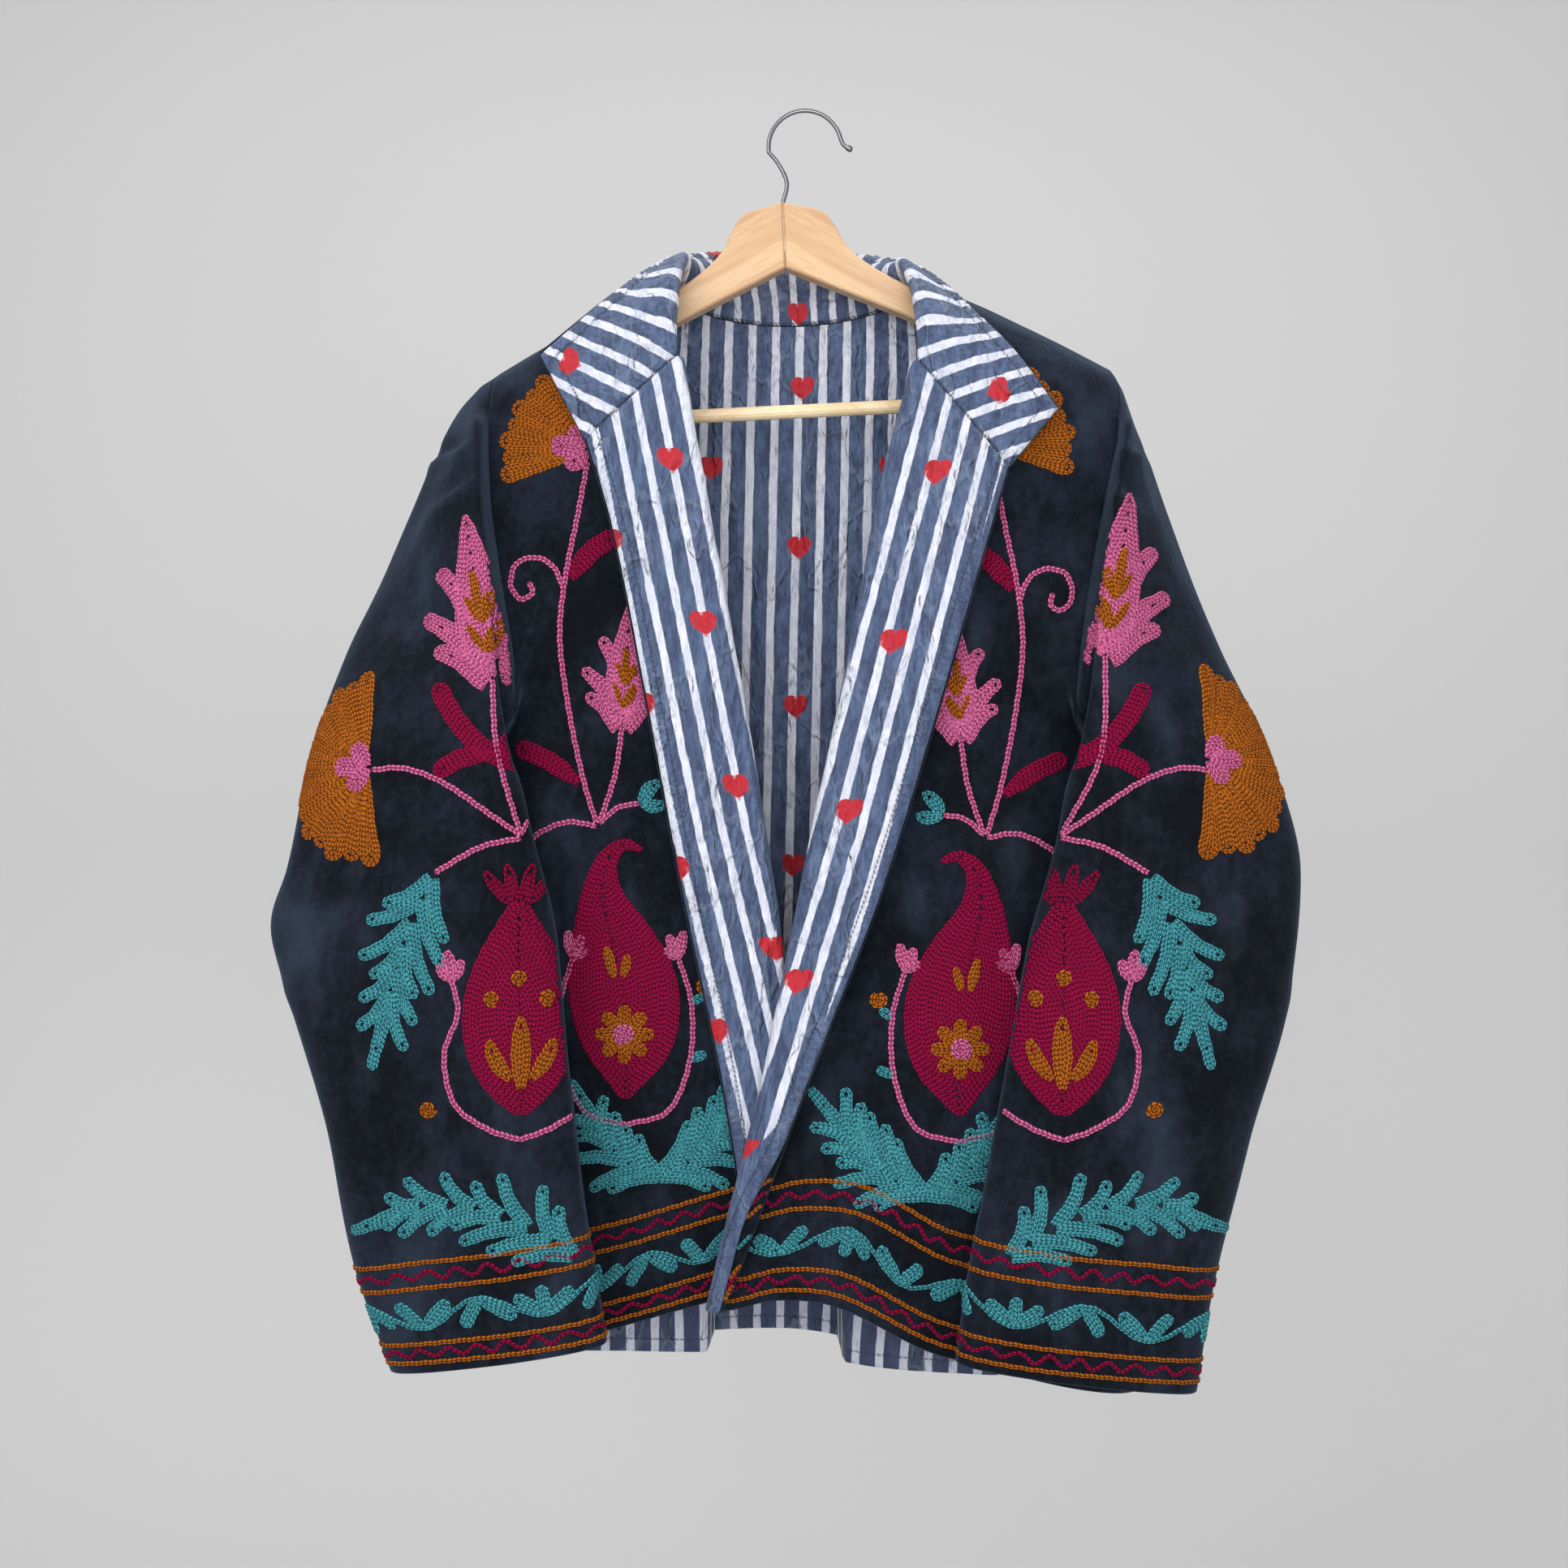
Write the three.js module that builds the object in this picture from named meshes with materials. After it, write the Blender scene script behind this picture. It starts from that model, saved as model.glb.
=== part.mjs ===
// A reversible velvet jacket with a striped cotton lining, hanging open on a wooden hanger.
// Millimetres, +Z up, +X to the jacket's viewer's right, the wearer's front faces -Y.
// The origin is where the hook bears on a rail. The cloth is worked out about the middle of the
// hanger's yoke, and the whole group is then moved so that the hook's apex stands on the origin.
import * as THREE from 'three';

// ---------------------------------------------------------------- driving dimensions
const VELVET = 2.0;                 // velvet with its interlining
const LINING = 1.0;                 // quilted cotton lining
const SEAM = 0.3;                   // gap between pieces that are sewn together
const HOOK_APEX_X = 15.3;           // hook's apex, measured from the middle of the yoke

const UNDERARM_AT = 0.37;           // share of the way from shoulder to hem where the armhole ends
const FOLD_AT = 0.3 * UNDERARM_AT;   // share of that way where the collar seam meets the lapel fold
const FOLD_RADIUS = 5;              // half the distance between a front and its turned-back lapel
const FOLD_REACH = 4;               // how far the fold bulges past that
const LAPEL_ROLL = 2;               // how far the middle of a lapel stands off
const DRAPE_DROP = 110;             // drop below the shoulder over which the cloth reaches full depth
const COLLAR_WIDTH = 72;
const HEM_LIFT_AT = 0.74;           // where along a front its hem is lifted by a soft fold
const HEM_LIFT_REACH = 0.26;
const NECK_DEPTH = 37;              // the back neckline lies this far behind the shoulder seams
const NECK_DROP = 22;               // and this far below them
const SHOULDER_ARCH = 4;            // how far a shoulder seam arches over the hanger's arm
const CAP_STAND = 24;               // how far a sleeve stands forward of its armhole seam
const CAP_STAND_BY = 0.08;          // share of the sleeve over which it does so
const CAP_HANG_BY = 0.32;           // share of the sleeve by which it hangs free of the armhole
const SIDE_ROUND = 0.3;              // share of a front's width over which it rounds away to the side
const SLACK_REACH = 0.1;            // share of its length below the arm by which a front hangs rounded
const UNDERARM_EASE = 7;            // the sleeve's wall stands off the front under the arm
const UNDERARM_REACH = 0.06;        // share of the armhole on each side of its lowest point where it does
const FOLD_FROM = 0.02;             // share of the way from shoulder to hem where the lapel's fold begins
const HEM_LIFT_POWER = 8;           // how low down on the front the hem's soft fold shows
const NECK_SCOOP = 0.4;             // how squarely the back neckline dips
const SHOULDER_TRIM = 0.004;        // the back starts this share of its length below a shoulder seam
const NECK_TRIM = 0.0006;           // and this share below its neckline
const DRAPE_CURVE = 0.7;            // how soon the back hangs at its full depth
const SIDE_TURN = 0.14;             // share of the back's width over which it turns to a side seam
const COLLAR_TRIM = 0.008;          // the collar starts this share of its width off its seam
// A sleeve's section: how full its front is, and its rear near the outer edge, near the body and at the cap.
const SLEEVE_FULL = { front: 0.8, outer: 0.45, inner: 1.6, cap: 1.5, capTo: 0.3, capReach: 0.3 };
// The part of an armhole, in shares of a turn, over which the sleeve stands forward of its seam.
const CAP_AHEAD = { from: 0.04, rise: 0.08, to: 0.48, fall: 0.06 };
const TINY = 1e-3;                  // step for slopes, and the width of a joint between two columns

const HANGER = { tilt: 2.75, peakX: -1.2, peakZ: -67, thick: 12, splay: 0.8, barDrop: 150.4, barRadius: 5 };
const WIRE_RADIUS = 1.6;
const HOOK_RADIUS = 26.5;

// ---------------------------------------------------------------- tables of the cut
// Each side lists the lines that a front is hung between. `at` runs from 0 at the top to 1 at the hem.
const SIDES = {
  left: {
    dir: 1,
    armhole: [                      // once round: shoulder, front, underarm, back
      { at: 0.00, x: -205, y: 0, z: -191 },
      { at: 0.05, x: -207, y: -17, z: -202 },
      { at: 0.10, x: -208, y: -29, z: -228 },
      { at: 0.20, x: -205, y: -42, z: -282 },
      { at: 0.30, x: -196, y: -49, z: -345 },
      { at: 0.39, x: -186, y: -55, z: -408 },
      { at: 0.43, x: -185, y: -57, z: -439 },
      { at: 0.47, x: -206, y: -48, z: -460 },
      { at: 0.50, x: -244, y: -8, z: -462 },
      { at: 0.62, x: -246, y: 30, z: -410 },
      { at: 0.75, x: -232, y: 42, z: -325 },
      { at: 0.90, x: -212, y: 30, z: -232 },
      { at: 1.00, x: -205, y: 0, z: -191 },
    ],
    sideHem: { x: -246, y: 2, z: -905 },
    hemLift: 0,
    neck: { x: -80, y: 4, z: -123 },
    fold: [                         // neck edge, then the line that the lapel turns back on
      { at: 0.000, x: -80, y: 4, z: -123 },
      { at: 0.037, x: -78, y: -21, z: -134 },
      { at: 0.074, x: -74, y: -40, z: -159 },
      { at: 0.111, x: -71, y: -48, z: -190 },
      { at: 0.200, x: -60, y: -50, z: -258 },
      { at: 0.400, x: -34, y: -50, z: -402 },
      { at: 0.600, x: -10, y: -46, z: -547 },
      { at: 0.800, x: 7, y: -40, z: -690 },
      { at: 1.000, x: 12, y: -37, z: -834 },
    ],
    edge: [                         // free edge of the lapel
      { at: 0.111, x: -137, y: -59, z: -249 },
      { at: 0.20, x: -120, y: -59, z: -305 },
      { at: 0.40, x: -96, y: -59, z: -425 },
      { at: 0.60, x: -71, y: -55, z: -560 },
      { at: 0.80, x: -42, y: -48, z: -702 },
      { at: 1.00, x: -20, y: -45, z: -843 },
    ],
    sleeve: [                       // outer edge, inner edge, depths in front of and behind them
      { at: 0.03, ox: -217, oy: 0, oz: -200, ix: -251, iy: -34, iz: -456, front: 30, rx: -22, ry: 58, rz: -15 },
      { at: 0.07, ox: -233, oy: 0, oz: -219, ix: -230, iy: -66, iz: -468, front: 34, rx: -32, ry: 66, rz: -24 },
      { at: 0.14, ox: -254, oy: -3, oz: -262, ix: -187, iy: -73, iz: -470, front: 36, rx: -38, ry: 60, rz: -26 },
      { at: 0.24, ox: -283, oy: -10, oz: -334, ix: -177, iy: -74, iz: -473, front: 36, rx: -34, ry: 44, rz: -14 },
      { at: 0.34, ox: -309, oy: -24, oz: -396, ix: -175, iy: -71, iz: -480, front: 34, rx: -10, ry: 24, rz: -4 },
      { at: 0.44, ox: -327, oy: -42, oz: -462, ix: -170, iy: -72, iz: -503, front: 30, rx: 0, ry: 13, rz: 0 },
      { at: 0.54, ox: -342, oy: -54, oz: -545, ix: -161, iy: -74, iz: -552, front: 26, rx: 0, ry: 11, rz: 0 },
      { at: 0.60, ox: -352, oy: -58, oz: -584, ix: -156, iy: -76, iz: -594, front: 26, rx: 0, ry: 11, rz: 0 },
      { at: 0.66, ox: -339, oy: -61, oz: -635, ix: -152, iy: -77, iz: -636, front: 25, rx: 0, ry: 11, rz: 0 },
      { at: 0.78, ox: -312, oy: -65, oz: -722, ix: -144, iy: -79, iz: -718, front: 24, rx: 0, ry: 11, rz: 0 },
      { at: 0.90, ox: -291, oy: -68, oz: -815, ix: -131, iy: -80, iz: -806, front: 22, rx: 0, ry: 12, rz: 0 },
      { at: 1.00, ox: -267, oy: -70, oz: -886, ix: -122, iy: -80, iz: -864, front: 20, rx: 0, ry: 13, rz: 0 },
    ],
  },
  right: {
    dir: -1,
    armhole: [
      { at: 0.00, x: 235, y: 0, z: -188 },
      { at: 0.05, x: 236, y: -17, z: -200 },
      { at: 0.10, x: 236, y: -29, z: -227 },
      { at: 0.20, x: 225, y: -43, z: -282 },
      { at: 0.30, x: 212, y: -51, z: -345 },
      { at: 0.39, x: 203, y: -56, z: -410 },
      { at: 0.43, x: 201, y: -58, z: -442 },
      { at: 0.47, x: 221, y: -49, z: -464 },
      { at: 0.50, x: 258, y: -8, z: -466 },
      { at: 0.62, x: 262, y: 30, z: -412 },
      { at: 0.75, x: 254, y: 42, z: -325 },
      { at: 0.90, x: 240, y: 30, z: -232 },
      { at: 1.00, x: 235, y: 0, z: -188 },
    ],
    sideHem: { x: 256, y: 2, z: -920 },
    hemLift: 15,
    neck: { x: 92, y: 4, z: -121 },
    fold: [
      { at: 0.000, x: 92, y: 4, z: -121 },
      { at: 0.037, x: 92, y: -21, z: -134 },
      { at: 0.074, x: 91, y: -40, z: -161 },
      { at: 0.111, x: 89, y: -48, z: -193 },
      { at: 0.200, x: 72, y: -52, z: -264 },
      { at: 0.400, x: 44, y: -53, z: -408 },
      { at: 0.600, x: 14, y: -56, z: -552 },
      { at: 0.800, x: -15, y: -61, z: -696 },
      { at: 1.000, x: -52, y: -61, z: -840 },
    ],
    edge: [
      { at: 0.111, x: 155, y: -60, z: -268 },
      { at: 0.20, x: 140, y: -62, z: -320 },
      { at: 0.40, x: 108, y: -63, z: -430 },
      { at: 0.60, x: 69, y: -66, z: -556 },
      { at: 0.80, x: 14, y: -70, z: -698 },
      { at: 1.00, x: -37, y: -70, z: -836 },
    ],
    sleeve: [
      { at: 0.03, ox: 241, oy: 0, oz: -201, ix: 266, iy: -34, iz: -460, front: 30, rx: 22, ry: 58, rz: -15 },
      { at: 0.07, ox: 248, oy: 0, oz: -222, ix: 246, iy: -66, iz: -472, front: 34, rx: 32, ry: 66, rz: -24 },
      { at: 0.14, ox: 262, oy: -3, oz: -258, ix: 201, iy: -74, iz: -473, front: 36, rx: 38, ry: 60, rz: -26 },
      { at: 0.24, ox: 283, oy: -10, oz: -322, ix: 192, iy: -74, iz: -476, front: 36, rx: 36, ry: 44, rz: -14 },
      { at: 0.34, ox: 308, oy: -24, oz: -392, ix: 188, iy: -72, iz: -480, front: 34, rx: 16, ry: 24, rz: -4 },
      { at: 0.44, ox: 336, oy: -40, oz: -462, ix: 184, iy: -72, iz: -502, front: 30, rx: 2, ry: 13, rz: 0 },
      { at: 0.54, ox: 355, oy: -54, oz: -545, ix: 177, iy: -74, iz: -550, front: 26, rx: 3, ry: 11, rz: 0 },
      { at: 0.66, ox: 346, oy: -61, oz: -634, ix: 160, iy: -77, iz: -636, front: 25, rx: 4, ry: 11, rz: 0 },
      { at: 0.78, ox: 318, oy: -65, oz: -730, ix: 145, iy: -79, iz: -722, front: 24, rx: 5, ry: 11, rz: 0 },
      { at: 0.90, ox: 292, oy: -68, oz: -826, ix: 127, iy: -80, iz: -812, front: 22, rx: 5, ry: 12, rz: 0 },
      { at: 1.00, ox: 280, oy: -70, oz: -900, ix: 118, iy: -80, iz: -877, front: 20, rx: 4, ry: 13, rz: 0 },
    ],
  },
};

// The back: hem height, and how deep it hangs behind the hanger at mid-length and at the hem.
const BACK = [
  { x: -246, hem: -905, mid: 8, low: 2 },
  { x: -200, hem: -899, mid: 38, low: 20 },
  { x: -140, hem: -895, mid: 46, low: 11 },
  { x: -57, hem: -896, mid: 48, low: 14 },
  { x: -53, hem: -898, mid: 48, low: 52 },
  { x: 0, hem: -899, mid: 50, low: 60 },
  { x: 41, hem: -902, mid: 48, low: 52 },
  { x: 46, hem: -908, mid: 48, low: 15 },
  { x: 140, hem: -917, mid: 46, low: 10 },
  { x: 205, hem: -920, mid: 38, low: 20 },
  { x: 256, hem: -920, mid: 8, low: 2 },
];
const FOLD_LEFT_X = -53;            // the two edges of the back's middle fold
const FOLD_RIGHT_X = 41;
const FLUTES_FROM = 0.55;           // the back's two forward flutes start here and grow to the hem

// The collar: its free edge, and how its middle bulges off the straight line from the neck seam.
const COLLAR = [
  { at: 0.00, x: -170, y: -49, z: -186, bx: 0, by: -3, bz: 0 },
  { at: 0.10, x: -144, y: -43, z: -162, bx: 0, by: -5, bz: 1 },
  { at: 0.20, x: -116, y: -26, z: -134, bx: 4, by: -10, bz: 3 },
  { at: 0.29, x: -98, y: -4, z: -117, bx: 10, by: -14, bz: 4 },
  { at: 0.36, x: -84, y: 20, z: -104, bx: 11, by: -14, bz: 9 },
  { at: 0.43, x: -54, y: 48, z: -87, bx: 5, by: -6, bz: 3 },
  { at: 0.50, x: 2, y: 62, z: -81, bx: 0, by: -5, bz: 0 },
  { at: 0.57, x: 58, y: 48, z: -89, bx: -5, by: -6, bz: 3 },
  { at: 0.64, x: 98, y: 20, z: -110, bx: -11, by: -14, bz: 8 },
  { at: 0.71, x: 116, y: -4, z: -128, bx: -10, by: -14, bz: 4 },
  { at: 0.80, x: 136, y: -26, z: -152, bx: -4, by: -10, bz: 3 },
  { at: 0.90, x: 163, y: -43, z: -184, bx: 0, by: -5, bz: 1 },
  { at: 1.00, x: 191, y: -49, z: -224, bx: 0, by: -3, bz: 0 },
];
const GORGE_SHARE = 0.20;           // share of the collar sewn to each lapel
const GORGE_TURN = 0.03;            // the collar begins to lift off the lapel's plane this share before it ends
const COLLAR_LIFT_REACH = 0.05;     // and has done so over this share
const NECK_SHARE = 0.36;            // share from the collar's end to the shoulder seam

// ---------------------------------------------------------------- small tools
const lerp = (a, b, t) => a + (b - a) * t;
const round = (t) => Math.sqrt(1 - (1 - Math.min(1, Math.max(0, t))) ** 2);
const clamp = (t) => Math.min(1, Math.max(0, t));
const ease = (t) => clamp(t) * clamp(t) * (3 - 2 * clamp(t));
const vec = (x, y, z) => new THREE.Vector3(x, y, z);
const mix = (a, b, t) => a.clone().lerp(b, t);

// Smooth curve through a table's rows, without overshoot: column `key` against column `by`.
function through(rows, key, where, by = 'at') {
  const last = rows.length - 1;
  if (where <= rows[0][by]) return rows[0][key];
  if (where >= rows[last][by]) return rows[last][key];
  let i = 0;
  while (rows[i + 1][by] < where) i++;
  const rise = (k) => (rows[k + 1][key] - rows[k][key]) / (rows[k + 1][by] - rows[k][by]);
  const slope = (k) => {
    if (k === 0) return rise(0);
    if (k === last) return rise(last - 1);
    const [a, b] = [rise(k - 1), rise(k)];
    return a * b > 0 ? 2 * a * b / (a + b) : 0;
  };
  const span = rows[i + 1][by] - rows[i][by];
  const t = (where - rows[i][by]) / span;
  const t2 = t * t;
  const t3 = t2 * t;
  return (2 * t3 - 3 * t2 + 1) * rows[i][key] + (t3 - 2 * t2 + t) * span * slope(i)
    + (3 * t2 - 2 * t3) * rows[i + 1][key] + (t3 - t2) * span * slope(i + 1);
}
const spot = (rows, where) => vec(through(rows, 'x', where), through(rows, 'y', where), through(rows, 'z', where));

// Even steps between the stops of a list, `counts` of them in each stretch.
function steps(stops, counts) {
  const out = [stops[0]];
  counts.forEach((n, i) => {
    for (let k = 1; k <= n; k++) out.push(lerp(stops[i], stops[i + 1], k / n));
  });
  return out;
}

// A wall of cloth: the surface point(u, v) made thick from offset `inner` to offset `outer` along its
// normal. `keep` leaves grid cells out, `wrap` closes it into a tube and `normal` may turn a normal.
function wall(point, us, vs, inner, outer, { keep = () => true, wrap = false, normal = (u, v, n) => n } = {}) {
  const columns = wrap ? us.length - 1 : us.length;
  const positions = [];
  const corner = new Map();
  const normalAt = (u, v) => {
    const du = point(u + TINY, v).sub(point(u - TINY, v));
    const dv = point(u, v + TINY).sub(point(u, v - TINY));
    return normal(u, v, du.cross(dv).normalize());
  };
  const vertex = (i, j, side) => {
    const id = `${i % columns},${j},${side}`;
    if (!corner.has(id)) {
      const u = us[i % columns];
      const p = point(u, vs[j]).addScaledVector(normalAt(u, vs[j]), side ? outer : inner);
      corner.set(id, positions.length / 3);
      positions.push(p.x, p.y, p.z);
    }
    return corner.get(id);
  };
  const index = [];
  const quad = (a, b, c, d) => index.push(a, b, c, a, c, d);
  const cells = us.length - 1;
  const kept = (i, j) => {
    const k = wrap ? (i + cells) % cells : i;
    return k >= 0 && k < cells && j >= 0 && j < vs.length - 1 && keep(us[k], vs[j], us[k + 1], vs[j + 1]);
  };
  for (let i = 0; i < cells; i++) {
    for (let j = 0; j < vs.length - 1; j++) {
      if (!kept(i, j)) continue;
      const at = (di, dj, side) => vertex(i + di, j + dj, side);
      quad(at(0, 0, 1), at(1, 0, 1), at(1, 1, 1), at(0, 1, 1));
      quad(at(0, 0, 0), at(0, 1, 0), at(1, 1, 0), at(1, 0, 0));
      if (!kept(i, j - 1)) quad(at(0, 0, 1), at(0, 0, 0), at(1, 0, 0), at(1, 0, 1));
      if (!kept(i, j + 1)) quad(at(0, 1, 1), at(1, 1, 1), at(1, 1, 0), at(0, 1, 0));
      if (!kept(i - 1, j)) quad(at(0, 0, 1), at(0, 1, 1), at(0, 1, 0), at(0, 0, 0));
      if (!kept(i + 1, j)) quad(at(1, 0, 1), at(1, 0, 0), at(1, 1, 0), at(1, 1, 1));
    }
  }
  const geometry = new THREE.BufferGeometry();
  geometry.setAttribute('position', new THREE.Float32BufferAttribute(positions, 3));
  geometry.setIndex(index);
  geometry.computeVertexNormals();
  return geometry;
}

// Turns a geometry inside out where its surface was laid the other way round.
function turned(geometry) {
  const index = geometry.index.array;
  for (let k = 0; k < index.length; k += 3) [index[k + 1], index[k + 2]] = [index[k + 2], index[k + 1]];
  return geometry;
}

// ---------------------------------------------------------------- surfaces of the cloth
const armhole = (side, turn) => spot(side.armhole, clamp(turn));

// A front's outer line: armhole from the shoulder to the underarm, then the side seam to the hem.
function sideLine(side, v, back = false) {
  if (v <= UNDERARM_AT) {
    const turn = 0.5 * v / UNDERARM_AT;
    return armhole(side, back ? 1 - turn : turn);
  }
  const { sideHem } = side;
  return mix(armhole(side, 0.5), vec(sideHem.x, sideHem.y, sideHem.z), (v - UNDERARM_AT) / (1 - UNDERARM_AT));
}

// A front: u 0..1 is the body, 1..2 the turn of the fold, 2..3 the lapel; v runs from shoulder to hem.
function frontPoint(side, u, v) {
  const fold = spot(side.fold, v);
  const reach = FOLD_REACH * ease((v - FOLD_FROM) / (FOLD_AT - FOLD_FROM));
  const radius = FOLD_RADIUS * ease((v - FOLD_FROM) / (FOLD_AT - FOLD_FROM));
  if (u <= 1) {
    const from = sideLine(side, v);
    const to = fold.clone().add(vec(-side.dir * reach, radius, 0));
    const p = mix(from, to, u);
    const slack = ease((v - UNDERARM_AT) / SLACK_REACH);
    p.y = lerp(from.y, to.y, lerp(clamp(u / SIDE_ROUND), round(u / SIDE_ROUND), slack));
    p.z += SHOULDER_ARCH * Math.sin(Math.PI * clamp(u)) * clamp(1 - v / FOLD_AT);
    p.z += side.hemLift * ease(1 - Math.abs(u - HEM_LIFT_AT) / HEM_LIFT_REACH) * clamp(v) ** HEM_LIFT_POWER;
    return p;
  }
  if (u <= 2) {
    const turn = Math.PI * (u - 1);
    const out = side.dir * reach * (Math.sin(turn) - 1);
    return fold.add(vec(out, radius * Math.cos(turn), 0));
  }
  const from = fold.add(vec(-side.dir * reach, -radius, 0));
  const p = mix(from, spot(side.edge, v), u - 2);
  p.y -= LAPEL_ROLL * Math.sin(Math.PI * clamp(u - 2));
  return p;
}

// The top edge of the back: shoulder seam, neckline, shoulder seam.
const { left, right } = SIDES;
const SHOULDER_SPAN = right.armhole[0].x - left.armhole[0].x;
const NECK_LEFT_U = (left.neck.x - left.armhole[0].x) / SHOULDER_SPAN;
const NECK_RIGHT_U = (right.neck.x - left.armhole[0].x) / SHOULDER_SPAN;
// The back's columns between the shoulder seams, with both sides of each flute's edge among them.
const crease = (x) => (x - left.sideHem.x) / (right.sideHem.x - left.sideHem.x);
const NECKLINE = steps(
  [NECK_LEFT_U, crease(-57), crease(FOLD_LEFT_X), crease(FOLD_RIGHT_X), crease(46), NECK_RIGHT_U], [2, 1, 4, 1, 2]);
function backTop(u) {
  const seam = (side, t) => mix(armhole(side, 0), vec(side.neck.x, side.neck.y, side.neck.z), t)
    .add(vec(0, 0, SHOULDER_ARCH * Math.sin(Math.PI * t)));
  if (u <= NECK_LEFT_U) return seam(left, u / NECK_LEFT_U);
  if (u >= NECK_RIGHT_U) return seam(right, (1 - u) / (1 - NECK_RIGHT_U));
  const t = (u - NECK_LEFT_U) / (NECK_RIGHT_U - NECK_LEFT_U);
  const dip = Math.sin(Math.PI * t) ** NECK_SCOOP;
  return mix(seam(left, 1), seam(right, 1), t).add(vec(0, NECK_DEPTH * dip, -NECK_DROP * dip));
}

// The back: u from the left side to the right, v from the top edge to the hem.
function backPoint(u, v0) {
  const onNeck = u > NECK_LEFT_U + TINY && u < NECK_RIGHT_U - TINY;
  const v = lerp(onNeck ? NECK_TRIM : SHOULDER_TRIM, 1, v0);
  const top = backTop(clamp(u));
  const west = sideLine(left, v, true);
  const east = sideLine(right, v, true);
  const x = lerp(west.x, east.x, u);
  const hem = through(BACK, 'hem', x, 'x');
  const straight = (line, v0) => line.z - lerp(line === west ? left.armhole[0].z : right.armhole[0].z,
    line === west ? left.sideHem.z : right.sideHem.z, v0);
  const pull = lerp(straight(west, v), straight(east, v), u) * (1 - Math.sin(Math.PI * clamp(u)));
  const z = lerp(top.z, hem, v) + pull;
  const drop = clamp((top.z - z) / DRAPE_DROP);
  const full = Math.sin(drop * Math.PI / 2) ** DRAPE_CURVE;
  const flute = ease((v - FLUTES_FROM) / (1 - FLUTES_FROM));
  const deep = lerp(through(BACK, 'mid', x, 'x'), through(BACK, 'low', x, 'x'), flute);
  const inside = lerp(top.y, deep, full);
  const seamSide = u < 0.5 ? west : east;
  const near = ease(Math.min(u, 1 - u) / SIDE_TURN);
  return vec(x, lerp(seamSide.y, inside, near), z);
}

// The neck seam that the collar is sewn to: gorge, neck edge, back neckline, neck edge, gorge.
function neckSeam(at) {
  const side = at < 0.5 ? left : right;
  const from = Math.min(at, 1 - at);
  if (from <= GORGE_SHARE) return mix(frontPoint(side, 3, FOLD_AT), frontPoint(side, 2, FOLD_AT), from / GORGE_SHARE);
  if (from <= NECK_SHARE) {
    const t = (from - GORGE_SHARE) / (NECK_SHARE - GORGE_SHARE);
    return mix(frontPoint(side, 2, lerp(FOLD_AT, 0, t)), frontPoint(side, 1, lerp(FOLD_AT, 0, t)), t);
  }
  return backTop(lerp(NECK_LEFT_U, NECK_RIGHT_U, (at - NECK_SHARE) / (1 - 2 * NECK_SHARE)));
}

// The collar: u along the neck seam, v from the seam to the free edge.
function collarPoint(u, v0) {
  const offPlane = ease((Math.min(u, 1 - u) - GORGE_SHARE + GORGE_TURN) / COLLAR_LIFT_REACH);
  const v = lerp(lerp(COLLAR_TRIM, (VELVET + 2 * SEAM) / COLLAR_WIDTH, offPlane), 1, v0);
  const bulge = vec(through(COLLAR, 'bx', u), through(COLLAR, 'by', u), through(COLLAR, 'bz', u));
  return mix(neckSeam(clamp(u)), spot(COLLAR, u), v).addScaledVector(bulge, 4 * v * (1 - v));
}

// A sleeve: u once round from the outer edge over the front, v from the armhole to the cuff.
function sleeveRing(side, u, v) {
  const row = (key) => through(side.sleeve, key, v);
  const share = (1 - Math.cos(2 * Math.PI * u)) / 2;
  const swing = Math.abs(Math.sin(2 * Math.PI * u));
  const p = mix(vec(row('ox'), row('oy'), row('oz')), vec(row('ix'), row('iy'), row('iz')), share);
  const front = (u - Math.floor(u)) < 0.5;
  if (front) return p.add(vec(0, -row('front') * swing ** SLEEVE_FULL.front, 0));
  const out = swing ** lerp(SLEEVE_FULL.outer, SLEEVE_FULL.inner, ease(2 * (u - Math.floor(u)) - 1));
  const back = lerp(swing ** SLEEVE_FULL.cap, swing ** SLEEVE_FULL.front,
    ease((v - SLEEVE_FULL.capTo) / SLEEVE_FULL.capReach));
  return p.add(vec(row('rx') * out, row('ry') * back, row('rz') * out));
}
// Over the front of the armhole the sleeve first stands forward of its seam, then hangs away from it.
function sleevePoint(side, u, v) {
  const first = side.sleeve[0].at;
  const turn = u - Math.floor(u);
  const ahead = ease((turn - CAP_AHEAD.from) / CAP_AHEAD.rise) * ease((CAP_AHEAD.to - turn) / CAP_AHEAD.fall);
  const under = ease(2 - Math.abs(turn - 0.5) / UNDERARM_REACH);
  const to = sleeveRing(side, u, Math.max(v, first));
  const from = armhole(side, turn);
  from.z += UNDERARM_EASE * under;
  const clear = SEAM + VELVET * (1 - (1 - Math.sin(Math.PI * turn)) ** 3);
  const loose = mix(from, to, clear / from.distanceTo(to));
  const start = mix(loose, from.add(vec(-side.dir * (SEAM + VELVET), 0, 0)), ahead);
  start.y -= CAP_STAND * ease(v / CAP_STAND_BY) * ahead;
  return mix(start, to, lerp(clamp(v / first), ease(v / CAP_HANG_BY), ahead));
}

// ---------------------------------------------------------------- pieces
const jacket = new THREE.Group();
const finish = {
  velvet: { color: 0x1a2230, roughness: 0.85 },
  cotton: { color: 0x5c7496, roughness: 0.8 },
  wood: { color: 0xd8b07a, roughness: 0.55 },
  wire: { color: 0x6a6a70, roughness: 0.25, metalness: 1 },
};
function add(name, geometry, look, parent = jacket) {
  const mesh = new THREE.Mesh(geometry, new THREE.MeshStandardMaterial(finish[look]));
  mesh.name = name;
  parent.add(mesh);
  return mesh;
}

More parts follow.
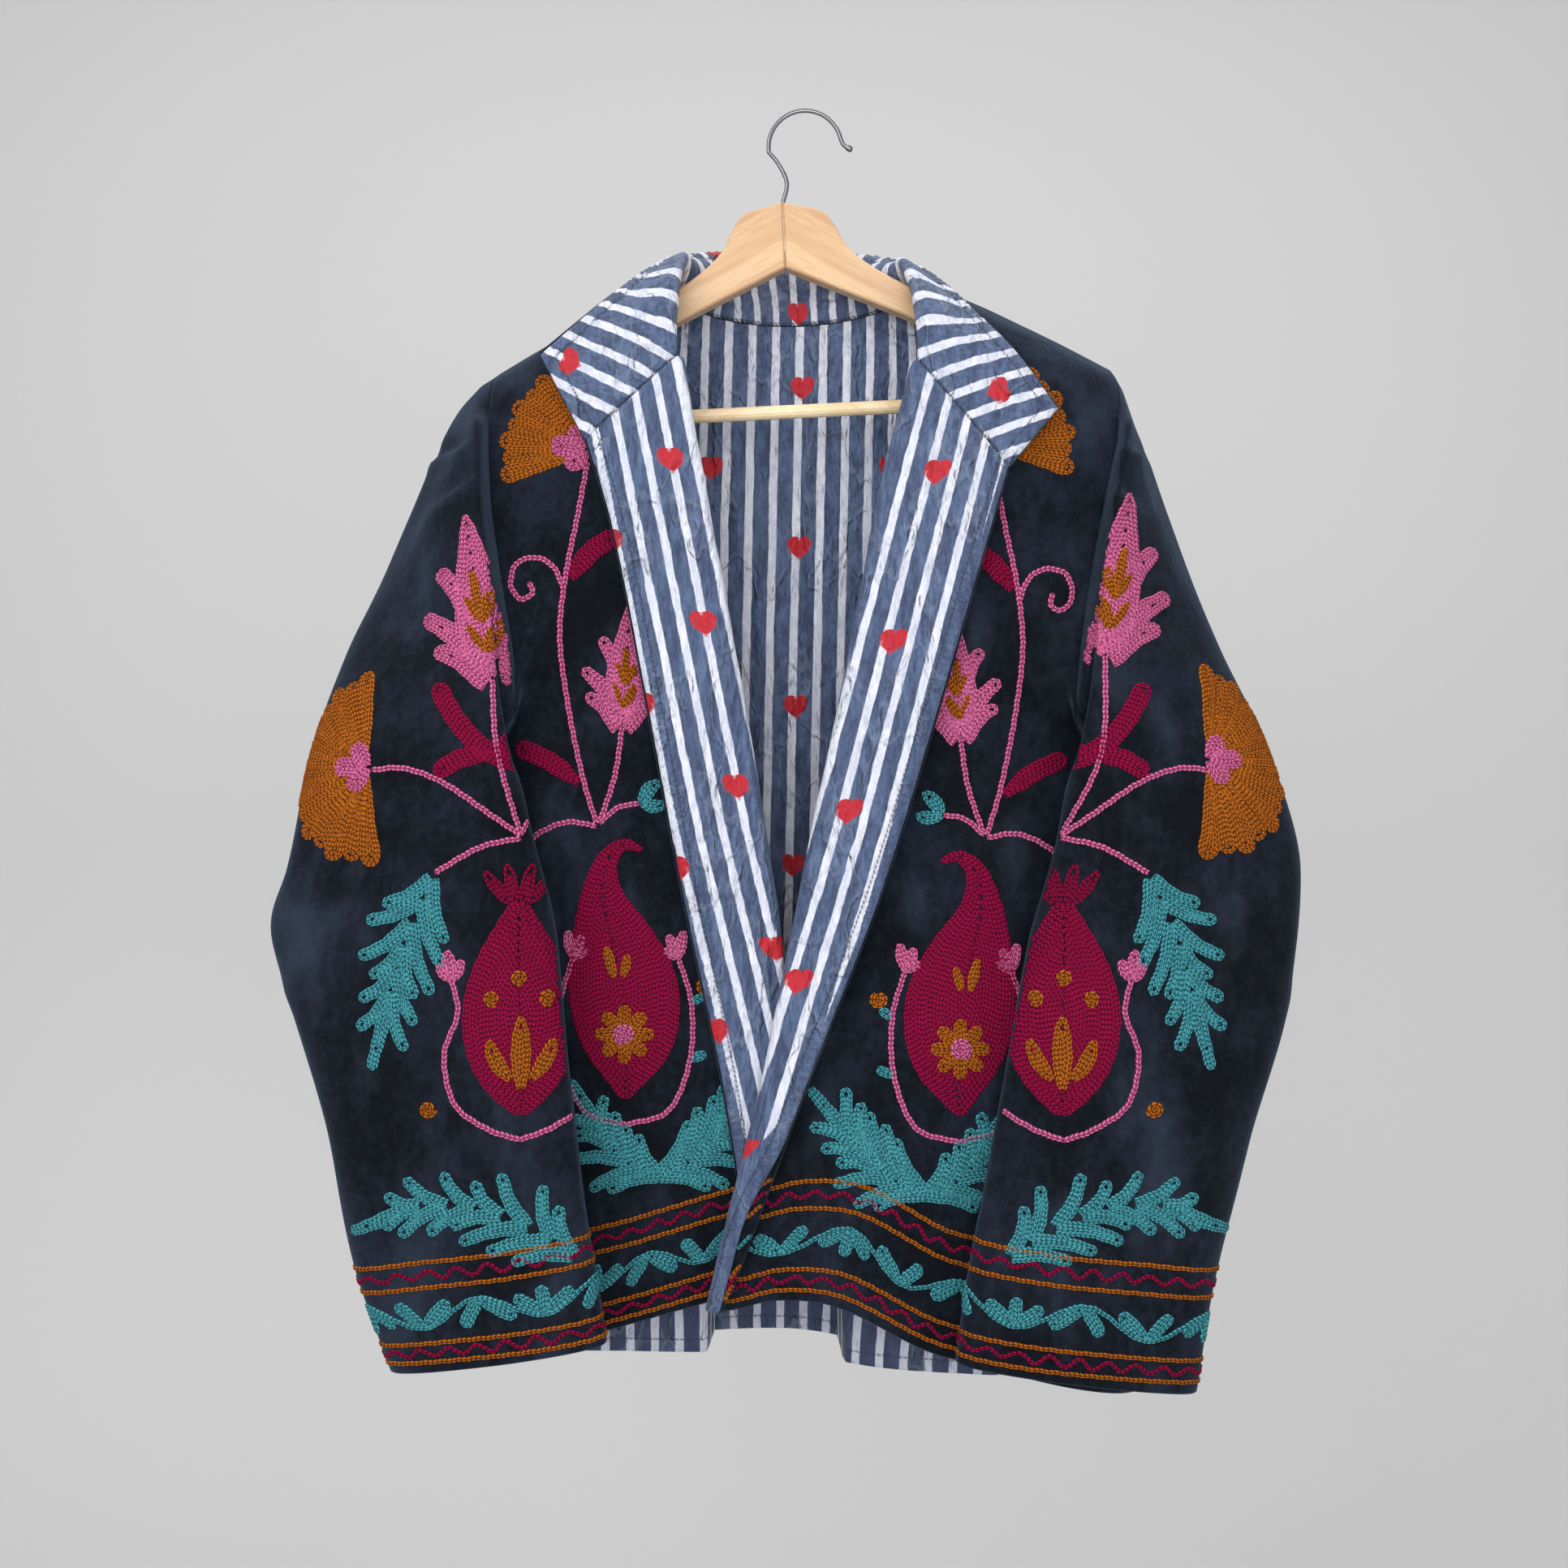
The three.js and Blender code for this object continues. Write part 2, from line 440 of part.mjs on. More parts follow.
// Near a seam the wall's thickness points along the seam's own outward direction, so that the two
// pieces sewn there meet edge to edge.
const outward = {
  up: () => vec(0, 0, 1),
  sideways: (side) => vec(-side.dir, 0, 0),
  armhole: (side, v, back) => {
    const p = sideLine(side, v, back);
    const middle = (armhole(side, 0).z + armhole(side, 0.5).z) / 2;
    return vec(0, p.y, (p.z - middle) * 0.5).normalize();
  },
};
function seamNormal(side, u, v, n, back) {
  if (v < 1e-6) return outward.up();
  if (u > 1e-6) return n;
  return v < UNDERARM_AT - 0.01 ? outward.armhole(side, v, back) : outward.sideways(side);
}

function buildFront(name, side) {
  const tiny = 0.002;
  const lay = side.dir > 0 ? (g) => g : turned;
  const sign = side.dir > 0 ? 1 : -1;
  const us = steps([0, 0.2, 1, 2, 3], [2, 6, 4, 3]);
  const vs = steps([0, FOLD_AT, 0.9 * UNDERARM_AT, UNDERARM_AT, 1], [3, 6, 2, 8]);
  vs[0] = tiny;
  const onBody = (u) => u < 1 - 1e-6;
  const keep = (u, v) => onBody(u) || v > FOLD_AT - 1e-6;
  // du x dv points to the velvet side on the left front and away from it on the right one
  const normal = (u, v, n) => seamNormal(side, u, v < tiny + 1e-6 ? 0 : v, n.multiplyScalar(-sign), false);
  add(name, lay(turned(wall((u, v) => frontPoint(side, u, v), us, vs, 0, VELVET, { keep, normal }))), 'velvet');

  const faceUs = steps([0.93, 1, 2, 3], [1, 4, 3]);
  const faceVs = vs.filter((v) => v > FOLD_AT - 1e-6);
  const inside = (u, v, n) => n.multiplyScalar(sign);
  add(`${name}_lining`, lay(wall((u, v) => frontPoint(side, u, v), faceUs, faceVs, SEAM, SEAM + LINING,
    { normal: inside })), 'cotton');
}
buildFront('front_left', left);
buildFront('front_right', right);

function buildBack() {
  const us = [...steps([0, NECK_LEFT_U], [3]), ...NECKLINE.slice(1, -1), ...steps([NECK_RIGHT_U, 1], [4])];
  const vs = steps([0, UNDERARM_AT, FLUTES_FROM, 1], [10, 2, 4]);
  const normal = (u, v, n) => {
    if (u < 1e-6) return seamNormal(left, 0, v, n, true);
    if (u > 1 - 1e-6) return seamNormal(right, 0, v, n, true);
    return n;
  };
  const back = (columns, from, to, flip) => wall(backPoint, columns, vs, from, to,
    { normal: (u, v, n) => normal(u, v, n).multiplyScalar(flip) });
  // three panels of velvet, which meet at the two edges of the middle fold
  const halfSeam = SEAM / 2 / (right.sideHem.x - left.sideHem.x);
  const seams = [FOLD_LEFT_X, FOLD_RIGHT_X].map((x) => us.findIndex((u) => Math.abs(u - crease(x)) < halfSeam));
  const ends = [0, ...seams, us.length - 1];
  ['back_left', 'back_middle', 'back_right'].forEach((name, k) => {
    const columns = us.slice(ends[k], ends[k + 1] + 1);
    if (k > 0) columns[0] += halfSeam;
    if (k < 2) columns[columns.length - 1] -= halfSeam;
    add(name, back(columns, 0, VELVET, 1), 'velvet');
  });
  add('back_lining', turned(back(us, SEAM, SEAM + LINING, -1)), 'cotton');
}
buildBack();

function buildSleeve(name, side) {
  const us = steps([0, 0.45, 0.55, 1], [9, 4, 9]);
  const vs = steps([0, 0.03, 0.07, 0.54, 1], [1, 1, 6, 6]);
  const sign = side.dir > 0 ? -1 : 1;
  const normal = (u, v, n) => n.multiplyScalar(sign);
  const geometry = wall((u, v) => sleevePoint(side, u, v), us, vs, 0, VELVET, { wrap: true, normal });
  add(name, side.dir > 0 ? turned(geometry) : geometry, 'velvet');
}
buildSleeve('sleeve_left', left);
buildSleeve('sleeve_right', right);

function buildCollar() {
  const along = (u) => lerp(NECK_SHARE, 1 - NECK_SHARE, (u - NECK_LEFT_U) / (NECK_RIGHT_U - NECK_LEFT_U));
  const us = [...steps([0, GORGE_SHARE, NECK_SHARE], [3, 5]).slice(0, -1), ...NECKLINE.map(along),
    ...steps([1 - NECK_SHARE, 1 - GORGE_SHARE, 1], [5, 3]).slice(1)];
  const vs = steps([0, 1], [5]);
  add('collar', wall(collarPoint, us, vs, 0, VELVET, { normal: (u, v, n) => n }), 'velvet');
  add('collar_lining', turned(wall(collarPoint, us, vs, SEAM, SEAM + LINING,
    { normal: (u, v, n) => n.multiplyScalar(-1) })), 'cotton');
}
buildCollar();

// ---------------------------------------------------------------- hanger
const degrees = (a) => THREE.MathUtils.degToRad(a);
const hanger = new THREE.Group();
hanger.position.set(HANGER.peakX, 0, HANGER.peakZ);
hanger.rotation.y = -degrees(HANGER.tilt);
jacket.add(hanger);

const JOINT_GAP = 0.3;              // half the joint between the arms
// One arm's face, in the hanger's own frame: from the joint at the peak out to the shoulder end.
function armShape() {
  const shape = new THREE.Shape();
  shape.moveTo(JOINT_GAP, 0);
  shape.lineTo(25, -6);
  shape.quadraticCurveTo(34, -9, 42, -29);
  shape.quadraticCurveTo(50, -43, 77.5, -59);
  shape.quadraticCurveTo(140, -92, 198, -131);
  shape.quadraticCurveTo(210, -138, 210, -148);
  shape.quadraticCurveTo(209, -161, 196, -161);
  shape.quadraticCurveTo(184, -160, 176, -148);
  shape.quadraticCurveTo(130, -108, 83, -85);
  shape.lineTo(JOINT_GAP, -47);
  return shape;
}
for (const [name, hand] of [['hanger_arm_left', -1], ['hanger_arm_right', 1]]) {
  const geometry = new THREE.ExtrudeGeometry(armShape(), {
    depth: HANGER.thick, bevelEnabled: true, bevelThickness: 1.2, bevelSize: 1.2, bevelOffset: -1.2,
    bevelSegments: 1, curveSegments: 6,
  });
  geometry.translate(0, 0, -HANGER.thick / 2);
  geometry.rotateX(Math.PI / 2);
  if (hand < 0) geometry.rotateZ(Math.PI);
  geometry.rotateZ(-hand * degrees(HANGER.splay));
  add(name, geometry, 'wood', hanger);
}

// A round rod along points in the plane y = 0, each with its own radius, with flat ends.
function rod(points, sides) {
  const positions = [];
  const index = [];
  points.forEach(({ x, z, r }, i) => {
    const a = points[Math.max(0, i - 1)];
    const b = points[Math.min(points.length - 1, i + 1)];
    const along = vec(b.x - a.x, 0, b.z - a.z).normalize();
    const across = vec(along.z, 0, -along.x);
    for (let k = 0; k < sides; k++) {
      const turn = 2 * Math.PI * k / sides;
      const p = vec(x, 0, z).addScaledVector(across, r * Math.cos(turn)).add(vec(0, r * Math.sin(turn), 0));
      positions.push(p.x, p.y, p.z);
    }
  });
  const id = (i, k) => i * sides + (k % sides);
  const last = points.length - 1;
  for (let i = 0; i < last; i++) {
    for (let k = 0; k < sides; k++) {
      index.push(id(i, k), id(i, k + 1), id(i + 1, k + 1), id(i, k), id(i + 1, k + 1), id(i + 1, k));
    }
  }
  for (let k = 1; k < sides - 1; k++) {
    index.push(id(0, 0), id(0, k + 1), id(0, k), id(last, 0), id(last, k), id(last, k + 1));
  }
  const geometry = new THREE.BufferGeometry();
  geometry.setAttribute('position', new THREE.Float32BufferAttribute(positions, 3));
  geometry.setIndex(index);
  geometry.computeVertexNormals();
  return geometry;
}

const barReach = 172.4;
const bar = add('hanger_bar', rod([
  { x: -barReach, z: 0, r: HANGER.barRadius },
  { x: barReach, z: 0, r: HANGER.barRadius },
], 14), 'wood', hanger);
bar.position.set(0, -barReach * Math.sin(degrees(HANGER.splay)), -HANGER.barDrop);

// The hook: a stem that sways to the left, the round of the hook, and a lip with a ball end.
const hookZ = WIRE_RADIUS - HOOK_RADIUS;
const stem = [
  { at: 0, x: -1.2, z: HANGER.peakZ + 0.5 },
  { at: 1, x: 2.2, z: -52 },
  { at: 2, x: -4.4, z: -36.5 },
  { at: 3, x: HOOK_APEX_X - HOOK_RADIUS * Math.cos(degrees(8)), z: hookZ - HOOK_RADIUS * Math.sin(degrees(8)) },
];
const lip = [
  { at: 0, x: HOOK_APEX_X + HOOK_RADIUS * Math.cos(degrees(12)), z: hookZ + HOOK_RADIUS * Math.sin(degrees(12)) },
  { at: 1, x: HOOK_APEX_X + HOOK_RADIUS + 1.4, z: hookZ + 1.6 },
  { at: 2, x: HOOK_APEX_X + HOOK_RADIUS + 6.6, z: hookZ - 1.6 },
];
const wire = [];
for (let k = 0; k < 12; k++) {
  wire.push({ x: through(stem, 'x', k / 4), z: through(stem, 'z', k / 4), r: WIRE_RADIUS });
}
for (let k = 0; k <= 24; k++) {
  const turn = degrees(lerp(188, 12, k / 24));
  wire.push({ x: HOOK_APEX_X + HOOK_RADIUS * Math.cos(turn), z: hookZ + HOOK_RADIUS * Math.sin(turn), r: WIRE_RADIUS });
}
for (let k = 1; k <= 6; k++) {
  const at = k / 3;
  wire.push({ x: through(lip, 'x', at), z: through(lip, 'z', at), r: k > 4 ? 2.4 : WIRE_RADIUS });
}
wire.push({ x: lip[2].x + 1.2, z: lip[2].z - 0.3, r: 1.2 });
add('hanger_hook', rod(wire, 12), 'wire');

jacket.position.x = -HOOK_APEX_X;
export default jacket;
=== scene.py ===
"""Looks of a reversible embroidered velvet jacket that hangs open on a wooden hanger.

The cloth is worked out in millimetres about the middle of the hanger's yoke, as in the part's source,
and each mesh is then turned into metres and moved so that the hook's apex stands on the origin.
"""
import math

import bpy
import numpy as np
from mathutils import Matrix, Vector
from mathutils.bvhtree import BVHTree


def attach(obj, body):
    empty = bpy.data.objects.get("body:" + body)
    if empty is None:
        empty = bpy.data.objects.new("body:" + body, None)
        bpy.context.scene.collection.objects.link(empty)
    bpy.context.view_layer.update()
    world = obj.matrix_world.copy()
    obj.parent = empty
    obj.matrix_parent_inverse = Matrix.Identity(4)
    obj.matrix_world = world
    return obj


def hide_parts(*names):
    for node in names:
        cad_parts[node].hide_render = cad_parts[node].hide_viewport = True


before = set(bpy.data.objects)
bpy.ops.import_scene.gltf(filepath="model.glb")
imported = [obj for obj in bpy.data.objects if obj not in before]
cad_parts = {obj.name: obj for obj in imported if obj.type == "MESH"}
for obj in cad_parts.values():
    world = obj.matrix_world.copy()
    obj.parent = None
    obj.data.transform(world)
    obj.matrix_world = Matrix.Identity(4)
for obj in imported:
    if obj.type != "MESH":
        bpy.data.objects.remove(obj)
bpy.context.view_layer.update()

# ------------------------------------------------------------------ driving sizes, as in the part's source
VELVET, LINING, SEAM = 2.0, 1.0, 0.3         # the walls, and the gap between two pieces
HOOK_APEX_X = 15.3                           # the hook's apex lies this far right of the yoke's middle
UNDERARM_AT = 0.37                           # share of the way from shoulder to hem
FOLD_AT = 0.3 * UNDERARM_AT                  # where the collar ends and the lapel begins
FOLD_FROM = 0.02                             # where the front's edge begins to turn back
FOLD_RADIUS, FOLD_REACH, LAPEL_ROLL = 5.0, 4.0, 2.0
COLLAR_WIDTH, COLLAR_TRIM = 72.0, 0.004
HEM_LIFT_AT, HEM_LIFT_REACH, HEM_LIFT_POWER = 0.74, 0.26, 8
NECK_DEPTH, NECK_DROP, NECK_SCOOP, NECK_TRIM = 37.0, 22.0, 0.4, 0.0006
SHOULDER_ARCH, SHOULDER_TRIM = 4.0, 0.004
DRAPE_DROP, DRAPE_CURVE, SIDE_TURN = 110.0, 0.7, 0.14
TAB_BELOW, TAB_FROM, TAB_TO = 0.9, 0.86, 2.3  # where the front's corner at the fold hangs lower
CAP_STAND, CAP_STAND_BY, CAP_HANG_BY = 24.0, 0.08, 0.32
SIDE_ROUND, SLACK_REACH = 0.3, 0.1
UNDERARM_EASE, UNDERARM_REACH = 7.0, 0.06    # the sleeve's wall stands off the front under the arm
FLUTES_FROM = 0.55                           # where the back's folds begin
GORGE_SHARE, NECK_SHARE = 0.20, 0.36         # of the collar's seam: the lapels' tops, then the fronts' necks
TURN = 2 * math.pi


# ------------------------------------------------------------------ small tools
def lerp(a, b, t):
    return a + (b - a) * t


def clamp(t):
    return np.clip(t, 0.0, 1.0)


def ease(t):
    t = clamp(t)
    return t * t * (3 - 2 * t)


def plateau(t, start, rise, end, fall):
    """1 between start and end, with a soft rise and fall inside them."""
    return ease((t - start) / rise) * ease((end - t) / fall)


def arch(t):
    return np.sqrt(1 - (1 - clamp(t)) ** 2)


def vec(x, y, z):
    return np.stack(np.broadcast_arrays(np.asarray(x, float), y, z), -1)


def mix(a, b, t):
    return a + (b - a) * np.asarray(t)[..., None]


def unit(v):
    return v / np.maximum(np.linalg.norm(v, axis=-1, keepdims=True), 1e-9)


class Table:
    """Named columns, each read along the first one by a smooth curve without overshoot."""

    def __init__(self, names, rows):
        data = np.array(rows, float)
        self.at = data[:, 0]
        self.columns = {name: data[:, k + 1] for k, name in enumerate(names.split())}

    def __call__(self, name, where):
        xs, ys = self.at, self.columns[name]
        rise = np.diff(ys) / np.diff(xs)
        slope = np.empty_like(ys)
        slope[0], slope[-1] = rise[0], rise[-1]
        product, total = rise[:-1] * rise[1:], rise[:-1] + rise[1:]
        slope[1:-1] = np.where(product > 0, 2 * product / np.where(total == 0, 1, total), 0)
        where = np.clip(where, xs[0], xs[-1])
        i = np.clip(np.searchsorted(xs, where, side="right") - 1, 0, len(xs) - 2)
        span = xs[i + 1] - xs[i]
        t = (where - xs[i]) / span
        t2, t3 = t * t, t * t * t
        return ((2 * t3 - 3 * t2 + 1) * ys[i] + (t3 - 2 * t2 + t) * span * slope[i]
                + (3 * t2 - 2 * t3) * ys[i + 1] + (t3 - t2) * span * slope[i + 1])

    def spot(self, where):
        return vec(self("x", where), self("y", where), self("z", where))


class Side:
    """The sizes of one side of the jacket, by name."""

    def __init__(self, **sizes):
        self.__dict__.update(sizes)


# ---------------------------------------------------- tables of the cut, as in the part's source
LEFT = Side(
    dir=1, side_hem=vec(-246, 2, -905), hem_lift=0.0, tab=0.0, neck=vec(-80, 4, -123),
    armhole=Table("x y z", [
        (0.00, -205, 0, -191), (0.05, -207, -17, -202), (0.10, -208, -29, -228), (0.20, -205, -42, -282),
        (0.30, -196, -49, -345), (0.39, -186, -55, -408), (0.43, -185, -57, -439), (0.47, -206, -48, -460),
        (0.50, -244, -8, -462), (0.62, -246, 30, -410), (0.75, -232, 42, -325), (0.90, -212, 30, -232),
        (1.00, -205, 0, -191)]),
    fold=Table("x y z", [
        (0.000, -80, 4, -123), (0.037, -78, -21, -134), (0.074, -74, -40, -159), (0.111, -71, -48, -190),
        (0.200, -60, -50, -258), (0.400, -34, -50, -402), (0.600, -10, -46, -547), (0.800, 7, -40, -690),
        (1.000, 12, -37, -834)]),
    edge=Table("x y z", [
        (0.111, -137, -59, -249), (0.20, -120, -59, -305), (0.40, -96, -59, -425), (0.60, -71, -55, -560),
        (0.80, -42, -48, -702), (1.00, -20, -45, -843)]),
    sleeve=Table("ox oy oz ix iy iz front rx ry rz", [
        (0.03, -217, 0, -200, -251, -34, -456, 30, -22, 58, -15),
        (0.07, -233, 0, -219, -230, -66, -468, 34, -32, 66, -24),
        (0.14, -254, -3, -262, -187, -73, -470, 36, -38, 60, -26),
        (0.24, -283, -10, -334, -177, -74, -473, 36, -34, 44, -14),
        (0.34, -309, -24, -396, -175, -71, -480, 34, -10, 24, -4),
        (0.44, -327, -42, -462, -170, -72, -503, 30, 0, 13, 0),
        (0.54, -342, -54, -545, -161, -74, -552, 26, 0, 11, 0),
        (0.60, -352, -58, -584, -156, -76, -594, 26, 0, 11, 0),
        (0.66, -339, -61, -635, -152, -77, -636, 25, 0, 11, 0),
        (0.78, -312, -65, -722, -144, -79, -718, 24, 0, 11, 0),
        (0.90, -291, -68, -815, -131, -80, -806, 22, 0, 12, 0),
        (1.00, -267, -70, -886, -122, -80, -864, 20, 0, 13, 0)]))
RIGHT = Side(
    dir=-1, side_hem=vec(256, 2, -920), hem_lift=15.0, tab=9.0, neck=vec(92, 4, -121),
    armhole=Table("x y z", [
        (0.00, 235, 0, -188), (0.05, 236, -17, -200), (0.10, 236, -29, -227), (0.20, 225, -43, -282),
        (0.30, 212, -51, -345), (0.39, 203, -56, -410), (0.43, 201, -58, -442), (0.47, 221, -49, -464),
        (0.50, 258, -8, -466), (0.62, 262, 30, -412), (0.75, 254, 42, -325), (0.90, 240, 30, -232),
        (1.00, 235, 0, -188)]),
    fold=Table("x y z", [
        (0.000, 92, 4, -121), (0.037, 92, -21, -134), (0.074, 91, -40, -161), (0.111, 89, -48, -193),
        (0.200, 72, -52, -264), (0.400, 44, -53, -408), (0.600, 14, -56, -552), (0.800, -15, -61, -696),
        (1.000, -52, -61, -840)]),
    edge=Table("x y z", [
        (0.111, 155, -60, -268), (0.20, 140, -62, -320), (0.40, 108, -63, -430), (0.60, 69, -66, -556),
        (0.80, 14, -70, -698), (1.00, -37, -70, -836)]),
    sleeve=Table("ox oy oz ix iy iz front rx ry rz", [
        (0.03, 241, 0, -201, 266, -34, -460, 30, 22, 58, -15),
        (0.07, 248, 0, -222, 246, -66, -472, 34, 32, 66, -24),
        (0.14, 262, -3, -258, 201, -74, -473, 36, 38, 60, -26),
        (0.24, 283, -10, -322, 192, -74, -476, 36, 36, 44, -14),
        (0.34, 308, -24, -392, 188, -72, -480, 34, 16, 24, -4),
        (0.44, 336, -40, -462, 184, -72, -502, 30, 2, 13, 0),
        (0.54, 355, -54, -545, 177, -74, -550, 26, 3, 11, 0),
        (0.66, 346, -61, -634, 160, -77, -636, 25, 4, 11, 0),
        (0.78, 318, -65, -730, 145, -79, -722, 24, 5, 11, 0),
        (0.90, 292, -68, -826, 127, -80, -812, 22, 5, 12, 0),
        (1.00, 280, -70, -900, 118, -80, -877, 20, 4, 13, 0)]))
BACK = Table("hem mid low", [
    (-246, -905, 8, 2), (-200, -901, 38, 20), (-140, -900, 46, 11), (-58, -902, 48, 14), (-53, -898, 48, 52),
    (0, -899, 50, 60), (41, -902, 48, 52), (46, -910, 48, 15), (140, -917, 46, 10), (205, -920, 38, 20),
    (256, -920, 8, 2)])
COLLAR = Table("x y z bx by bz", [
    (0.00, -170, -49, -186, 0, -3, 0), (0.10, -144, -43, -162, 0, -5, 1), (0.20, -116, -26, -134, 4, -10, 3),
    (0.29, -98, -4, -117, 10, -14, 4), (0.36, -84, 20, -104, 11, -14, 9), (0.43, -54, 48, -87, 5, -6, 3),
    (0.50, 2, 62, -81, 0, -5, 0), (0.57, 58, 48, -89, -5, -6, 3), (0.64, 98, 20, -110, -11, -14, 8),
    (0.71, 116, -4, -128, -10, -14, 4), (0.80, 136, -26, -152, -4, -10, 3), (0.90, 163, -43, -184, 0, -5, 1),
    (1.00, 191, -49, -224, 0, -3, 0)])


# ------------------------------------------------------------------ surfaces of the cloth
def side_line(side, v, back=False):
    turn = 0.5 * clamp(v / UNDERARM_AT)
    arm = side.armhole.spot(1 - turn if back else turn)
    return mix(arm, side.side_hem, clamp((v - UNDERARM_AT) / (1 - UNDERARM_AT)))


def front_point(side, u, v):
    """u 0..1 is the body, 1..2 the turn of the fold, 2..3 the lapel; v runs from shoulder to hem."""
    fold = side.fold.spot(v)
    turned_back = ease((v - FOLD_FROM) / (FOLD_AT - FOLD_FROM))
    reach, radius = FOLD_REACH * turned_back, FOLD_RADIUS * turned_back
    start = side_line(side, v)
    end = fold + vec(-side.dir * reach, radius, 0)
    body = mix(start, end, u)
    slack = ease((v - UNDERARM_AT) / SLACK_REACH)
    across = lerp(clamp(u / SIDE_ROUND), arch(u / SIDE_ROUND), slack)
    body[..., 1] = lerp(start[..., 1], end[..., 1], across)
    body[..., 2] += SHOULDER_ARCH * np.sin(math.pi * clamp(u)) * clamp(1 - v / FOLD_AT)
    near = ease(1 - abs(u - HEM_LIFT_AT) / HEM_LIFT_REACH)
    body[..., 2] += side.hem_lift * near * clamp(v) ** HEM_LIFT_POWER
    turn = math.pi * (u - 1)
    roll = fold + vec(side.dir * reach * (np.sin(turn) - 1), radius * np.cos(turn), 0)
    lapel = mix(fold + vec(-side.dir * reach, -radius, 0), side.edge.spot(v), u - 2)
    lapel[..., 1] -= LAPEL_ROLL * np.sin(math.pi * clamp(u - 2))
    spot = np.where((u <= 1)[..., None], body, np.where((u <= 2)[..., None], roll, lapel))
    low = ease((v - TAB_BELOW) / 0.1)
    spot[..., 2] -= side.tab * low * ease((u - TAB_FROM) / 0.14) * (1 - ease((u - TAB_TO) / 0.7))
    return spot


WEST, EAST = (side.armhole("x", 0.0) for side in (LEFT, RIGHT))
NECK_LEFT_U, NECK_RIGHT_U = ((side.neck[0] - WEST) / (EAST - WEST) for side in (LEFT, RIGHT))


def back_top(u):
    """The top edge of the back: shoulder seam, neckline, shoulder seam."""
    def seam(side, t):
        t = clamp(t)
        return mix(side.armhole.spot(0 * t), side.neck, t) + vec(0, 0, SHOULDER_ARCH * np.sin(math.pi * t))
    t = clamp((u - NECK_LEFT_U) / (NECK_RIGHT_U - NECK_LEFT_U))
    dip = np.sin(math.pi * t) ** NECK_SCOOP
    neckline = mix(LEFT.neck, RIGHT.neck, t) + vec(0, NECK_DEPTH * dip, -NECK_DROP * dip)
    return np.where((u <= NECK_LEFT_U)[..., None], seam(LEFT, u / NECK_LEFT_U),
                    np.where((u >= NECK_RIGHT_U)[..., None],
                             seam(RIGHT, (1 - u) / (1 - NECK_RIGHT_U)), neckline))


def back_point(u, v):
    """u from the left side to the right, v from the top edge to the hem."""
    on_neck = (u > NECK_LEFT_U + 1e-3) & (u < NECK_RIGHT_U - 1e-3)
    v = lerp(np.where(on_neck, NECK_TRIM, SHOULDER_TRIM), 1, v)
    top = back_top(clamp(u))
    west, east = side_line(LEFT, v, True), side_line(RIGHT, v, True)
    x = lerp(west[..., 0], east[..., 0], u)
    hem = BACK("hem", x)
    sags = [line[..., 2] - lerp(side.armhole("z", 0.0), side.side_hem[2], v)
            for side, line in ((LEFT, west), (RIGHT, east))]
    sag = lerp(*sags, u)
    z = lerp(top[..., 2], hem, v) + sag * (1 - np.sin(math.pi * clamp(u)))
    full = np.sin(clamp((top[..., 2] - z) / DRAPE_DROP) * math.pi / 2) ** DRAPE_CURVE
    flute = ease((v - FLUTES_FROM) / (1 - FLUTES_FROM))
    deep = lerp(BACK("mid", x), BACK("low", x), flute)
    inside = lerp(top[..., 1], deep, full)
    seam_y = np.where(u < 0.5, west[..., 1], east[..., 1])
    return vec(x, lerp(seam_y, inside, ease(np.minimum(u, 1 - u) / SIDE_TURN)), z)


def neck_seam(at):
    """The collar's seam: up one lapel and round one front's neck, along the back's, and down again."""
    near = np.minimum(at, 1 - at)
    def edge(side):
        high = clamp(near / GORGE_SHARE)
        gorge = mix(front_point(side, 0 * near + 3, 0 * near + FOLD_AT),
                    front_point(side, 0 * near + 2, 0 * near + FOLD_AT), high)
        t = clamp((near - GORGE_SHARE) / (NECK_SHARE - GORGE_SHARE))
        level = FOLD_AT * (1 - t)
        neck = mix(front_point(side, 0 * t + 2, level), front_point(side, 0 * t + 1, level), t)
        return np.where((near <= GORGE_SHARE)[..., None], gorge, neck)
    sides = np.where((at < 0.5)[..., None], edge(LEFT), edge(RIGHT))
    middle = back_top(lerp(NECK_LEFT_U, NECK_RIGHT_U, clamp((at - NECK_SHARE) / (1 - 2 * NECK_SHARE))))
    return np.where((near <= NECK_SHARE)[..., None], sides, middle)


def collar_point(u, v):
    """u along the neck seam, v from the seam to the free edge."""
    v = lerp(COLLAR_TRIM, 1, v)
    bulge = vec(COLLAR("bx", u), COLLAR("by", u), COLLAR("bz", u))
    return mix(neck_seam(clamp(u)), COLLAR.spot(u), v) + bulge * (4 * v * (1 - v))[..., None]


def sleeve_ring(side, u, v):
    """A cross-section of the sleeve below its armhole."""
    row = {key: side.sleeve(key, v) for key in side.sleeve.columns}
    share = (1 - np.cos(TURN * u)) / 2
    swing = abs(np.sin(TURN * u))
    p = mix(vec(row["ox"], row["oy"], row["oz"]), vec(row["ix"], row["iy"], row["iz"]), share)
    turn = u - np.floor(u)
    out = swing ** lerp(0.45, 1.6, ease(2 * turn - 1))
    deep = lerp(swing ** 1.5, swing ** 0.8, ease((v - 0.3) / 0.3))
    front = vec(0, -row["front"] * swing ** 0.8, 0)
    rear = vec(row["rx"] * out, row["ry"] * deep, row["rz"] * out)
    return p + np.where((turn < 0.5)[..., None], front, rear)


